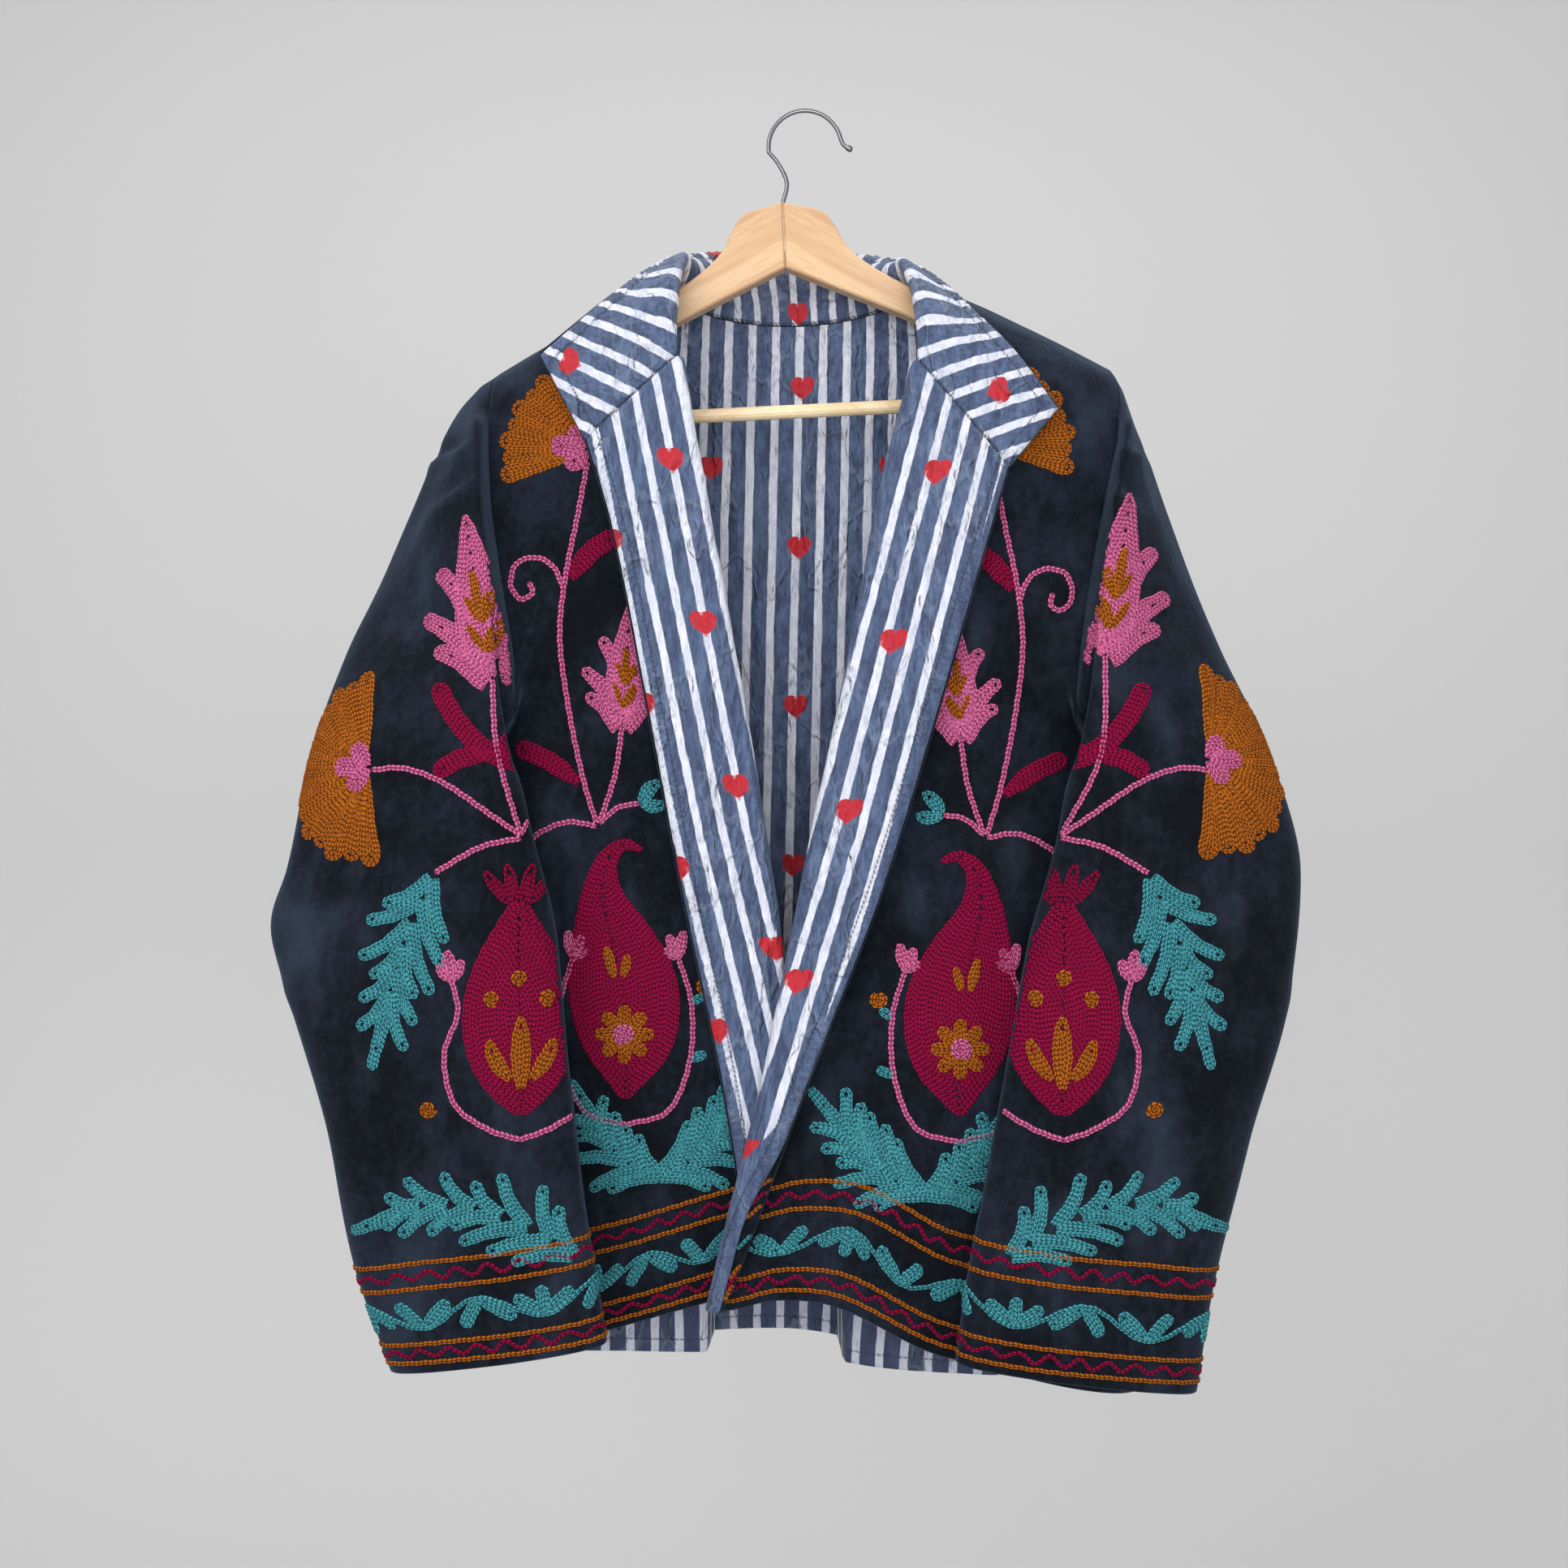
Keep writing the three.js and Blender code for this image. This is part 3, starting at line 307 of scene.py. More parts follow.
def sleeve_point(side, u, v):
    """u once round from the outer edge over the front, v from the armhole to the cuff."""
    first = side.sleeve.at[0]
    turn = u - np.floor(u)
    ahead = plateau(turn, 0.04, 0.08, 0.48, 0.06)
    under = ease(2 - abs(turn - 0.5) / UNDERARM_REACH)
    to = sleeve_ring(side, u, np.maximum(v, first))
    seam = side.armhole.spot(turn) + vec(0, 0, UNDERARM_EASE * under)
    clear = SEAM + VELVET * (1 - (1 - np.sin(math.pi * turn)) ** 3)
    loose = mix(seam, to, clear / np.linalg.norm(to - seam, axis=-1))
    start = mix(loose, seam + vec(-side.dir * (SEAM + VELVET), 0, 0), ahead)
    start = start - vec(0, CAP_STAND * ease(v / CAP_STAND_BY) * ahead, 0)
    return mix(start, to, lerp(clamp(v / first), ease(v / CAP_HANG_BY), ahead))


# ------------------------------------------------------------------ folds and creases
def noise(x, y, seed):
    """Smooth value noise between -1 and 1 with one lump per unit."""
    ix, iy = np.floor(x).astype(int), np.floor(y).astype(int)
    values = np.random.RandomState(seed).uniform(-1, 1, (64, 64))
    fx, fy = ease(x - ix), ease(y - iy)
    at = lambda dx, dy: values[(ix + dx) % 64, (iy + dy) % 64]
    return lerp(lerp(at(0, 0), at(1, 0), fx), lerp(at(0, 1), at(1, 1), fx), fy)


def creases(points, rows):
    """Soft troughs and ridges along lines seen from the front or the rear: x0, z0, x1, z1, width, height."""
    total = np.zeros(points.shape[:-1])
    x, z = points[..., 0], points[..., 2]
    for x0, z0, x1, z1, width, height in rows:
        length2 = (x1 - x0) ** 2 + (z1 - z0) ** 2
        along = ((x - x0) * (x1 - x0) + (z - z0) * (z1 - z0)) / length2
        near = clamp(along)
        away = np.hypot(x - lerp(x0, x1, near), z - lerp(z0, z1, near))
        total += height * np.exp(-(away / width) ** 2) * ease(1.15 - abs(2 * near - 1))
    return total


SIGHT = 400.0                        # how far in front of the cloth its stitches are aimed from
GRAZING = 0.32                       # how squarely cloth has to face the aim to take stitches


def travelled(points, axis=0):
    """How far each point lies along its line, or its row or column of a grid, from the first one."""
    step = np.linalg.norm(np.diff(points, axis=axis), axis=-1)
    pad = [(0, 0)] * step.ndim
    pad[axis] = (1, 0)
    return np.cumsum(np.pad(step, pad), axis=axis)


class Panel:
    """A piece of cloth as a grid of points on its base surface, with normals towards its outer face."""

    def __init__(self, point, us, vs, outward, folds=None, wrap=False, relax=None):
        u, v = np.meshgrid(us, vs, indexing="ij")
        h = 1e-3
        du = point(u + h, v) - point(u - h, v)
        dv = point(u, np.minimum(v + h, 1)) - point(u, np.maximum(v - h, 0))
        self.us, self.vs, self.u, self.v, self.wrap = us, vs, u, v, wrap
        self.normals = unit(np.cross(du, dv)) * outward
        self.points = point(u, v)
        self.outward = outward
        if relax:
            self.soften(relax(u, v))
        if folds:
            self.points = self.points + self.normals * folds(self)[..., None]

    def soften(self, share, rounds=90):
        """Evens out the surface where share is above nought, and takes the normals there from the grid."""
        for _ in range(rounds):
            p = self.points
            mean = p.copy()
            mean[1:-1, 1:-1] = (p[:-2, 1:-1] + p[2:, 1:-1] + p[1:-1, :-2] + p[1:-1, 2:]) / 4
            self.points = mix(p, mean, share)
        along, down = np.gradient(self.points, axis=0), np.gradient(self.points, axis=1)
        grid = unit(np.cross(along, down)) * self.outward
        self.normals = unit(mix(self.normals, grid, clamp(share * 3)))

    def level(self, height):
        """The points at a height, or at one height each, above the base surface."""
        return self.points + self.normals * np.asarray(height)[..., None]

    def lengths(self, axis):
        """How far each point lies along its own row or column of the cloth."""
        return travelled(self.points, axis)

    def area(self):
        """The cloth's area in square metres."""
        a = np.diff(self.points, axis=0)[:, :-1]
        b = np.diff(self.points, axis=1)[:-1]
        return float(np.linalg.norm(np.cross(a, b), axis=-1).sum()) * 1e-6

    def cells(self, keep=None, wrap=False):
        """The grid's cells that are kept, by the numbers of their corners, and which ones these are."""
        ids = np.arange(self.u.size).reshape(self.u.shape)
        here, after = (ids, np.roll(ids, -1, axis=0)) if wrap else (ids[:-1], ids[1:])
        cells = np.stack([here[:, :-1], after[:, :-1], after[:, 1:], here[:, 1:]], -1)
        kept = np.ones(cells.shape[:2], bool)
        if keep is not None:
            kept = keep(self.u[:len(cells), :-1], self.v[:len(cells), :-1])
        return cells[kept], kept

    def stitching_base(self, keep=None):
        """What embroidery lies on: the outer face, and the hem's own coordinates."""
        face = self.level(VELVET)
        self.tree = BVHTree.FromPolygons(face.reshape(-1, 3).tolist(), self.cells(keep)[0].tolist())
        once_more = slice(0, 1 if self.wrap else 0)
        self.hem_face = np.concatenate([face, face[once_more]])[:, ::-1]
        self.hem_normals = np.concatenate([self.normals, self.normals[once_more]])[:, ::-1]
        self.hem_run = travelled(self.hem_face[:, 0])
        self.hem_rise = travelled(self.hem_face, 1)

    def seen_from(self, yaw=0.0, origin=(0.0, 0.0, 0.0)):
        """Lays flat points (across, up) on the face, as seen from the front turned by yaw degrees."""
        turn = math.radians(yaw)
        across = np.array([math.cos(turn), math.sin(turn), 0])
        into = np.array([-math.sin(turn), math.cos(turn), 0])
        start = np.array(origin) - into * SIGHT
        into = Vector(into)

        def lay(flat):
            hits = []
            for a, up in flat:
                above = Vector(start + across * a + np.array([0, 0, up]))
                spot, normal, _, _ = self.tree.ray_cast(above, into)
                if spot is None or abs(normal.dot(into)) < GRAZING:
                    hits.append(None)
                else:
                    hits.append((tuple(spot), tuple(-normal if normal.dot(into) > 0 else normal)))
            return hits
        return lay

    def along_hem(self, inner=False):
        """Lays flat points (distance along the hem, height above it) on the outer or the inner face."""
        def lay(flat):
            hits = []
            for run, rise in flat:
                if not 0 <= run <= self.hem_run[-1]:
                    hits.append(None)
                    continue
                i = min(int(np.searchsorted(self.hem_run, run, side="right")) - 1, len(self.hem_run) - 2)
                t = (run - self.hem_run[i]) / (self.hem_run[i + 1] - self.hem_run[i])
                spots, normals = [], []
                for k in (i, i + 1):
                    j = np.interp(rise, self.hem_rise[k], np.arange(self.hem_rise.shape[1]))
                    j0 = min(int(j), self.hem_rise.shape[1] - 2)
                    face, normal = self.hem_face[k], self.hem_normals[k]
                    spots.append(lerp(face[j0], face[j0 + 1], j - j0))
                    normals.append(normal[j0])
                spot, normal = lerp(*spots, t), lerp(*normals, t)
                if inner:
                    spot, normal = spot - VELVET * normal, -normal
                hits.append((tuple(spot), tuple(normal)))
            return hits
        return lay


# ------------------------------------------------------------------ meshes
def build(name, points, faces, looks, face_look=None, uv=None, edge=None):
    """A smooth mesh object that rides on the part, from points in millimetres."""
    mesh = bpy.data.meshes.new(name)
    points = (np.asarray(points, float) - (HOOK_APEX_X, 0, 0)) * 0.001
    sizes = np.concatenate([np.full(len(f), f.shape[1]) for f in faces])
    corners = np.concatenate([f.ravel() for f in faces])
    mesh.vertices.add(len(points))
    mesh.vertices.foreach_set("co", points.ravel())
    mesh.loops.add(len(corners))
    mesh.loops.foreach_set("vertex_index", corners)
    mesh.polygons.add(len(sizes))
    mesh.polygons.foreach_set("loop_start", np.concatenate([[0], np.cumsum(sizes)[:-1]]))
    for look in looks:
        mesh.materials.append(look)
    if face_look is not None:
        mesh.polygons.foreach_set("material_index", face_look)
    if uv is not None:
        layer = mesh.uv_layers.new(name="cloth")
        layer.data.foreach_set("uv", (uv[corners] / CLOTH_UNIT).ravel())
    if edge is not None:
        mesh.attributes.new("edge", "FLOAT", "POINT").data.foreach_set("value", edge)
    mesh.update(calc_edges=True)
    mesh.validate()
    mesh.shade_smooth()
    obj = bpy.data.objects.new(name, mesh)
    bpy.context.scene.collection.objects.link(obj)
    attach(obj, "root")
    return obj


def shell(name, panel, low, high, looks, keep=None, inner_look=None, uv=None, edge=None, roll=0.5):
    """A closed thin shell between two heights over a panel, with its rim rolled out softly."""
    count = panel.u.size
    outer, inner = (panel.level(height).reshape(-1, 3) for height in (high, low))
    cells, kept = panel.cells(keep, panel.wrap)
    if panel.outward < 0:
        cells = cells[:, ::-1]
    # an edge whose other direction no cell has is on the rim
    edges = np.concatenate([cells[:, [k, (k + 1) % 4]] for k in range(4)])
    keys = edges[:, 0] * count + edges[:, 1]
    lone = edges[~np.isin(keys, edges[:, 1] * count + edges[:, 0])]
    normals = panel.normals.reshape(-1, 3)
    flat = panel.points.reshape(-1, 3)
    # the rim's points stand half way through the wall and a little outside its edge
    push = np.zeros((count, 3))
    away = unit(np.cross(flat[lone[:, 1]] - flat[lone[:, 0]], normals[lone[:, 0]]))
    np.add.at(push, lone[:, 0], away)
    np.add.at(push, lone[:, 1], away)
    rim_ids = np.unique(lone)
    rim_of = np.full(count, -1)
    rim_of[rim_ids] = 2 * count + np.arange(len(rim_ids))
    middle = (outer + inner)[rim_ids] / 2
    thick = np.linalg.norm((outer - inner)[rim_ids], axis=-1, keepdims=True)
    middle = middle + unit(push[rim_ids]) * roll * thick * 0.5
    points = np.concatenate([outer, inner, middle])
    p, q = lone[:, 0], lone[:, 1]
    rims = np.concatenate([np.stack([q, p, rim_of[p], rim_of[q]], -1),
                           np.stack([rim_of[q], rim_of[p], p + count, q + count], -1)])
    faces = np.concatenate([cells, cells[:, ::-1] + count, rims])
    # points of cells that were not kept are left out
    used = np.zeros(len(points), bool)
    used[faces.ravel()] = True
    renumber = np.cumsum(used) - 1
    face_look = np.zeros(len(faces), int)
    if inner_look is not None:
        face_look[len(cells):2 * len(cells)] = inner_look(panel.u, panel.v)[:len(kept), :-1][kept]
    spread = lambda values: np.concatenate([values, values, values[rim_ids]])[used]
    flat_uv = None if uv is None else spread(uv.reshape(-1, 2))
    from_edge = None if edge is None else spread(edge.ravel())
    return build(name, points[used], [renumber[faces]], looks, face_look, flat_uv, from_edge)


# ------------------------------------------------------------------ materials
TOPSTITCH, TOPSTITCH_PITCH = 9.0, 3.6   # how far in from their edges the linings are stitched down
LINK = 3.4                              # one link of the chain stitch
WEAVE = 0.9                             # two threads of the cotton
WHITE_SHARE = 0.34                      # of a stripe's period
HEART = 7.6                             # half a heart's width
CLOTH_UNIT = 100.0                      # millimetres of cloth in one unit of its coordinates


class Signal:
    """A value that varies over a material: a node's output, whose arithmetic makes Math nodes."""

    def __init__(self, look, socket):
        self.look, self.socket = look, socket

    def __add__(self, other):
        return self.look.math("ADD", self, other)

    def __sub__(self, other):
        return self.look.math("SUBTRACT", self, other)

    def __mul__(self, other):
        return self.look.math("MULTIPLY", self, other)

    def __truediv__(self, other):
        return self.look.math("DIVIDE", self, other)

    def __abs__(self):
        return self.look.math("ABSOLUTE", self)


class Look:
    """A procedural material: a few helpers round its node tree."""

    def __init__(self, name, **sockets):
        self.material = bpy.data.materials.new(name)
        self.material.use_nodes = True
        self.tree = self.material.node_tree
        self.shader = self.tree.nodes["Principled BSDF"]
        self.relief = None
        for key, value in sockets.items():
            self.shader.inputs[key.replace("_", " ")].default_value = value

    def node(self, kind, inputs=None, output=0, **props):
        """Adds a node and gives one of its outputs."""
        made = self.tree.nodes.new("ShaderNode" + kind)
        for key, value in props.items():
            setattr(made, key, value)
        for key, value in (inputs or {}).items():
            self.put(value, made.inputs[key])
        return Signal(self, made.outputs[output])

    def put(self, value, socket):
        if isinstance(value, Signal):
            self.tree.links.new(value.socket, socket)
        else:
            socket.default_value = value

    def math(self, operation, a, b=0.0):
        return self.node("Math", {0: a, 1: b}, operation=operation)

    def blend(self, share, a, b):
        return self.node("Mix", {0: share, 6: a, 7: b}, 2, data_type="RGBA")

    def step(self, value, low, high):
        return self.node("MapRange", {0: value, 1: low, 2: high, 3: 0.0, 4: 1.0},
                         interpolation_type="SMOOTHSTEP")

    def place(self, stretch=(1, 1, 1), turn=(0, 0, 0)):
        return self.node("Mapping", {0: self.node("TexCoord", output="Object"), 2: turn, 3: stretch})

    def noise(self, scale, where=None, detail=3.0, roughness=0.55):
        inputs = {"Scale": scale, "Detail": detail, "Roughness": roughness}
        if where is not None:
            inputs["Vector"] = where
        return self.node("TexNoise", inputs)

    def split(self, vector):
        """The three coordinates of a vector."""
        node = self.node("SeparateXYZ", {0: vector}).socket.node
        return [Signal(self, socket) for socket in node.outputs]

    def cloth(self):
        """The flat coordinates of the cloth in millimetres."""
        return [at * CLOTH_UNIT for at in self.split(self.node("UVMap", uv_map="cloth"))[:2]]

    def bump(self, height, strength, distance):
        """Adds relief to the relief that is there."""
        inputs = {"Height": height, "Strength": strength, "Distance": distance}
        if self.relief:
            inputs["Normal"] = self.relief
        self.relief = self.node("Bump", inputs)
        self.put(self.relief, self.shader.inputs["Normal"])

    def colour(self, value):
        self.put(value, self.shader.inputs["Base Color"])


def rgb(red, green, blue):
    """A colour given as the eye sees it, 0 to 255."""
    line = lambda c: c / 12.92 if c <= 0.04045 else ((c + 0.055) / 1.055) ** 2.4
    return (line(red / 255), line(green / 255), line(blue / 255), 1.0)


def velvet_look():
    look = Look("navy_velvet", Roughness=0.85, Sheen_Weight=0.85, Sheen_Roughness=0.4,
                Sheen_Tint=(0.09, 0.13, 0.2, 1), Specular_IOR_Level=0.1)
    brushed = look.noise(16.0, look.place((1, 1, 0.8)), 5.0, 0.65)
    nap = look.noise(190.0, look.place((1, 1, 0.8)), 4.0, 0.7)
    specks = look.noise(800.0, detail=2.0)
    pile = brushed * 0.5 + nap * 0.3 + specks * 0.2
    rubbed = look.step(look.noise(17.0, look.place((1, 1, 0.6), (0, 0.35, 0)), 5.0, 0.6), 0.5, 0.78)
    mottle = look.blend(look.step(pile, 0.42, 0.64), rgb(5, 8, 14), rgb(25, 32, 45))
    look.colour(look.blend(rubbed * 0.45, mottle, rgb(54, 64, 82)))
    look.bump(specks, 0.4, 0.0008)
    look.bump(nap, 0.3, 0.0012)
    look.bump(brushed, 0.4, 0.006)
    return look.material


def cotton_look(name, period, white_at, hearts=None, spots=(), bare=0.0, edging=None):
    """Striped cotton: stripes run along the cloth's second coordinate, with a topstitch along the edge.

    The hearts are a spot and two steps, from which they stand on a staggered lattice, or else they stand
    at the spots alone; none is within the bare distance of the edge, where the cotton is also darkened
    towards the edge as painted shade.
    The edging is a plain blue strip along the edge: it widens between two heights, from the first
    to the second of its widths.
    """
    look = Look(name, Roughness=0.6, Sheen_Weight=0.1, Specular_IOR_Level=0.4)
    a, b = look.cloth()
    a_drawn = a + (look.noise(30.0, detail=3.0) - 0.5) * 2.6
    off = abs(look.math("FRACT", (a_drawn - white_at) / period + 0.5) - 0.5)
    stripe = look.step(off, WHITE_SHARE / 2 + 0.02, WHITE_SHARE / 2 - 0.02)
    edge = look.node("Attribute", output="Fac", attribute_name="edge")
    inside = 1.0
    if edging:
        upper, lower, narrow, broad = edging
        wide = look.step(b, upper, lower) * (broad - narrow) + narrow
        inside = look.step(edge - wide, -0.6, 0.4)
        stripe = stripe * inside
    thread_a, thread_b = (look.math("SINE", at * (TURN / WEAVE)) for at in (a, b))
    weave = (thread_a * thread_b + 1.0) * 0.5
    faded = look.noise(55.0, detail=6.0, roughness=0.7)
    # painted highlight: thin pale lines along the cotton's crinkles, also used as their bump
    crease_highlight = look.noise(26.0, look.place((1, 1, 0.5), (0, 0.6, 0)), 3.0, 0.5)
    crease_highlight = look.step(abs(crease_highlight - 0.5), 0.03, 0.0)
    # painted light and shade: slanted streaks that lighten the cotton where its fine crinkles would catch the
    # light, also used as their bump
    crinkle_shade_streaks = [look.noise(scale, look.place((1, 1, 0.2), (0, turn, 0)), 4.0, 0.65)
               for scale, turn in ((140.0, 0.5), (120.0, -0.75))]
    crinkle_shade_streaks = crinkle_shade_streaks[0] + crinkle_shade_streaks[1]
    # each stripe colour has a lighter and a darker tone: partly random fading, partly the painted crinkle
    # light and shade
    mottle = faded * 0.4 + crinkle_shade_streaks * 0.3
    blue = look.blend(look.step(mottle, 0.4, 0.63), rgb(46, 60, 92), rgb(85, 104, 139))
    white = look.blend(look.step(mottle, 0.36, 0.62), rgb(224, 225, 235), rgb(190, 194, 210))
    ground = look.blend(stripe, blue, white)
    if spots:
        masks = [heart(look, a_drawn - x, b - z) for x, z in spots]
    else:
        at, steps = hearts
        masks = [heart(look, cell(look, a_drawn, at[0], steps[0], shift),
                       cell(look, b, at[1], steps[1], shift))
                 for shift in (0.0, 0.5)]
    red = masks[0]
    for mask in masks[1:]:
        red = look.math("MAXIMUM", red, mask)
    red = red * inside
    if bare:
        red = red * look.step(edge, bare - 2, bare)
        # painted shade: near the hem the stripes darken to a deep navy and a dimmer white
        hem_shade = look.step(edge, bare, bare - 24) * 0.8
        ground = look.blend(hem_shade, ground, look.blend(stripe, rgb(32, 42, 74), rgb(176, 178, 194)))
    # the crinkle lines are painted lighter, as a painted highlight
    ground = look.blend(crease_highlight * 0.08, ground, rgb(200, 212, 232))
    ground = look.blend(red, ground, look.blend(faded, rgb(204, 8, 36), rgb(150, 3, 24)))
    # the topstitch: dark dashes of thread over a fainter continuous painted shade along the groove that the
    # stitch pulls in
    line = look.step(abs(edge - TOPSTITCH), 1.1, 0.3)
    dashes = look.step(look.math("SINE", (a + b) * (TURN / TOPSTITCH_PITCH)), -0.6, 0.2)
    ground = look.blend(line * (dashes * 0.5 + 0.25), ground, rgb(24, 30, 46))
    look.colour(look.blend(weave * 0.12, ground, rgb(38, 48, 66)))
    look.bump(weave, 0.25, 0.0003)
    look.bump(crinkle_shade_streaks, 0.6, 0.0026)
    look.bump(crease_highlight, 0.6, 0.003)
    look.bump(look.noise(80.0, look.place((1, 1, 0.5), (0, 0.7, 0)), 4.0, 0.6), 0.9, 0.006)
    look.bump(look.noise(22.0, look.place((1, 1, 0.5)), 4.0, 0.6), 0.9, 0.016)
    return look.material


def heart(look, x, y):
    """A heart about the middle, as the inside of a curve of the sixth degree."""
    x, y = x / HEART, y / HEART + 0.1
    x2, y2 = x * x, y * y
    ring = x2 + y2 - 1.0
    return look.step(ring * ring * ring - x2 * (y2 * y), 0.06, -0.04)


def cell(look, value, origin, step, shift):
    """Distance from the nearest point of a row of points."""
    return (look.math("FRACT", (value - origin) / step + (0.5 + shift)) - 0.5) * step


def plain_cotton_look():
    look = Look("inner_cotton", Roughness=0.85)
    look.colour(look.blend(look.noise(30.0), rgb(66, 84, 112), rgb(88, 106, 136)))
    look.bump(look.noise(90.0, detail=4.0), 0.4, 0.002)
    return look.material


def thread_look(name, light, dark):
    """Chain stitch in wool: each link is a pair of strands that open and close along the row."""
    look = Look(name, Roughness=0.8, Sheen_Weight=0.12, Sheen_Roughness=0.5, Sheen_Tint=light,
                Specular_IOR_Level=0.12)
    run, across = look.cloth()
    side = abs(across)
    link = look.math("FRACT", run / LINK - side * 0.5)
    strand = look.step(abs(link - 0.5), 0.5, 0.3)
    height = strand * (look.step(side, 0.0, 0.34) * 0.75 + 0.25)
    fibre = look.noise(1100.0, detail=2.0)
    # painted light and shade: the strands' crowns take the light colour, the groove and the gaps between
    # links the dark one
    shade = look.math("MINIMUM", height * (fibre * 0.7 + 0.65), 1.0)
    patch = look.blend(look.noise(60.0), light, tuple(lerp(a, b, 0.4) for a, b in zip(light, dark)))
    look.colour(look.blend(shade, dark, patch))
    look.bump(height, 1.0, 0.0016)
    look.bump(fibre, 0.5, 0.0006)
    return look.material


def wood_look(name, light, dark):
    """Wood whose grain follows the hanger's two sloping arms."""
    look = Look(name, Roughness=0.42, Coat_Weight=0.15, Coat_Roughness=0.3)
    x, y, z = look.split(look.node("TexCoord", output="Object"))
    away = abs(x + HOOK_APEX_X * 0.001)
    grain = look.node("CombineXYZ", {0: away * 0.10, 1: y, 2: z + away * 0.56})
    broad, fine = look.noise(95.0, grain, 3.0, 0.5), look.noise(900.0, grain, 2.0, 0.5)
    base = look.blend(look.step(broad, 0.3, 0.75), light, dark)
    look.colour(look.blend(look.step(fine, 0.45, 0.75) * 0.35, base, rgb(176, 128, 80)))
    look.bump(fine, 0.12, 0.0003)
    return look.material


def wire_look():
    look = Look("dark_plating", Metallic=1.0, Roughness=0.24)
    look.colour(look.blend(look.noise(200.0), rgb(96, 97, 102), rgb(132, 132, 136)))
    look.bump(look.noise(1500.0), 0.08, 0.0002)
    return look.material


velvet, inner_cotton = velvet_look(), plain_cotton_look()
# each wool is given as the colour of its lit strands and the painted shade of the gaps between them
WOOLS = {
    "gold": thread_look("wool_gold", rgb(196, 108, 26), rgb(66, 28, 2)),
    "magenta": thread_look("wool_magenta", rgb(166, 6, 70), rgb(56, 0, 26)),
    "pink": thread_look("wool_pink", rgb(232, 118, 170), rgb(122, 32, 76)),
    "teal": thread_look("wool_teal", rgb(80, 170, 180), rgb(6, 52, 66)),
}
COLOURS = list(WOOLS)


# ------------------------------------------------------------------ the cloth pieces
def side_creases(panel, side, rows):
    """Creases placed on the left side; the right one has them the other way round."""
    points = panel.points.copy()
    points[..., 0] *= side.dir
    return creases(points, rows)


def front_folds(side):
    def folds(panel):
        x, z = panel.points[..., 0] * side.dir, panel.points[..., 2]
        rows = [(-200, -500, -180, -830, 16, 2.2), (-150, -560, -140, -840, 13, -2.0),
                (-120, -700, -100, -860, 12, 1.8), (-60, -760, -40, -850, 12, -1.6),
                (-185, -250, -150, -420, 14, 1.6), (-150, -300, -120, -560, 12, -1.4),
                (-205, -212, -172, -203, 6, 1.8), (-203, -240, -190, -216, 5, -1.8),
                (-196, -430, -150, -520, 10, 1.8)]
        body = (panel.u < 1) * ease(panel.u / 0.1)
        return side_creases(panel, side, rows) * body + 0.7 * noise(x / 34 + 7, z / 52, 3) * body
    return folds


def sleeve_folds(side):
    def folds(panel):
        x, z = panel.points[..., 0] * side.dir, panel.points[..., 2]
        front = ease(clamp(-panel.normals[..., 1] * 1.6 + 0.2))
        rows = [(-325, -560, -250, -520, 12, -2.6), (-340, -590, -235, -590, 12, 2.4),
                (-330, -625, -250, -660, 12, -2.2), (-300, -480, -225, -430, 13, 1.8),
                (-290, -700, -275, -850, 13, 2.4), (-250, -690, -240, -860, 14, -2.2),
                (-200, -640, -190, -850, 14, 2.0), (-170, -600, -160, -820, 12, -1.6),
                (-262, -252, -213, -246, 5, -3.0), (-262, -262, -212, -254, 5, 2.6),
                (-255, -292, -212, -268, 6, -2.4), (-250, -304, -211, -280, 6, 2.2),
                (-235, -300, -222, -380, 7, 2.0), (-229, -300, -214, -370, 6, -2.0),
                (-300, -380, -235, -360, 12, -1.8), (-320, -440, -240, -400, 14, 2.2),
                (-350, -640, -300, -600, 10, 2.4), (-345, -610, -305, -570, 9, -2.2)]
        away = ease(panel.v / 0.05)
        total = side_creases(panel, side, rows) * (0.35 + 0.65 * front) * away
        return total + 0.9 * noise(x / 36 + 3, z / 60 + 5, 17) * away
    return folds


def back_folds(panel):
    x, z = panel.points[..., 0], panel.points[..., 2]
    rows = [(-40, -190, 60, -215, 10, -1.6), (-60, -260, -20, -420, 13, 1.6),
            (30, -240, 50, -420, 12, -1.4), (-150, -420, -120, -820, 16, 2.0),
            (90, -380, 110, -820, 16, -2.0), (180, -420, 170, -840, 16, 1.8),
            (-190, -300, -175, -520, 15, -1.6)]
    inside = ease(np.minimum(panel.u, 1 - panel.u) / 0.08) * ease(panel.v / 0.06)
    return creases(panel.points, rows) * inside + 0.9 * noise(x / 40 + 5, z / 60, 23) * inside


def crinkle(panel, seed, amount):
    """Small lumps all over a lining."""
    x, z = panel.points[..., 0], panel.points[..., 2]
    return amount * (noise(x / 17 + 9, z / 26, seed) + 0.6 * noise(x / 8, z / 11, seed + 1))


def puckered(along, from_edge, seed, pitch=6.4, height=2.0):
    """The band outside a topstitch, gathered into small puckers; the stitch line itself is drawn in."""
    band = plateau(from_edge, 0, 1.5, TOPSTITCH + 3, 4)
    wave = np.sin(TURN * along / pitch + 2.4 * noise(along / 13, from_edge / 9, seed))
    return height * band * (0.5 + 0.5 * wave) ** 0.7 - 1.2 * drawn_in(from_edge)


def drawn_in(from_edge):
    """The groove that a topstitch pulls into the cloth."""
    return np.exp(-((from_edge - TOPSTITCH) / 1.3) ** 2)


def runs(*stretches):
    """Parameter values in stretches of (from, to, count), each ending where the next begins."""
    values = [np.linspace(a, b, n, endpoint=False) for a, b, n in stretches]
    return np.concatenate(values + [[stretches[-1][1]]])


panels, sheets = {}, []


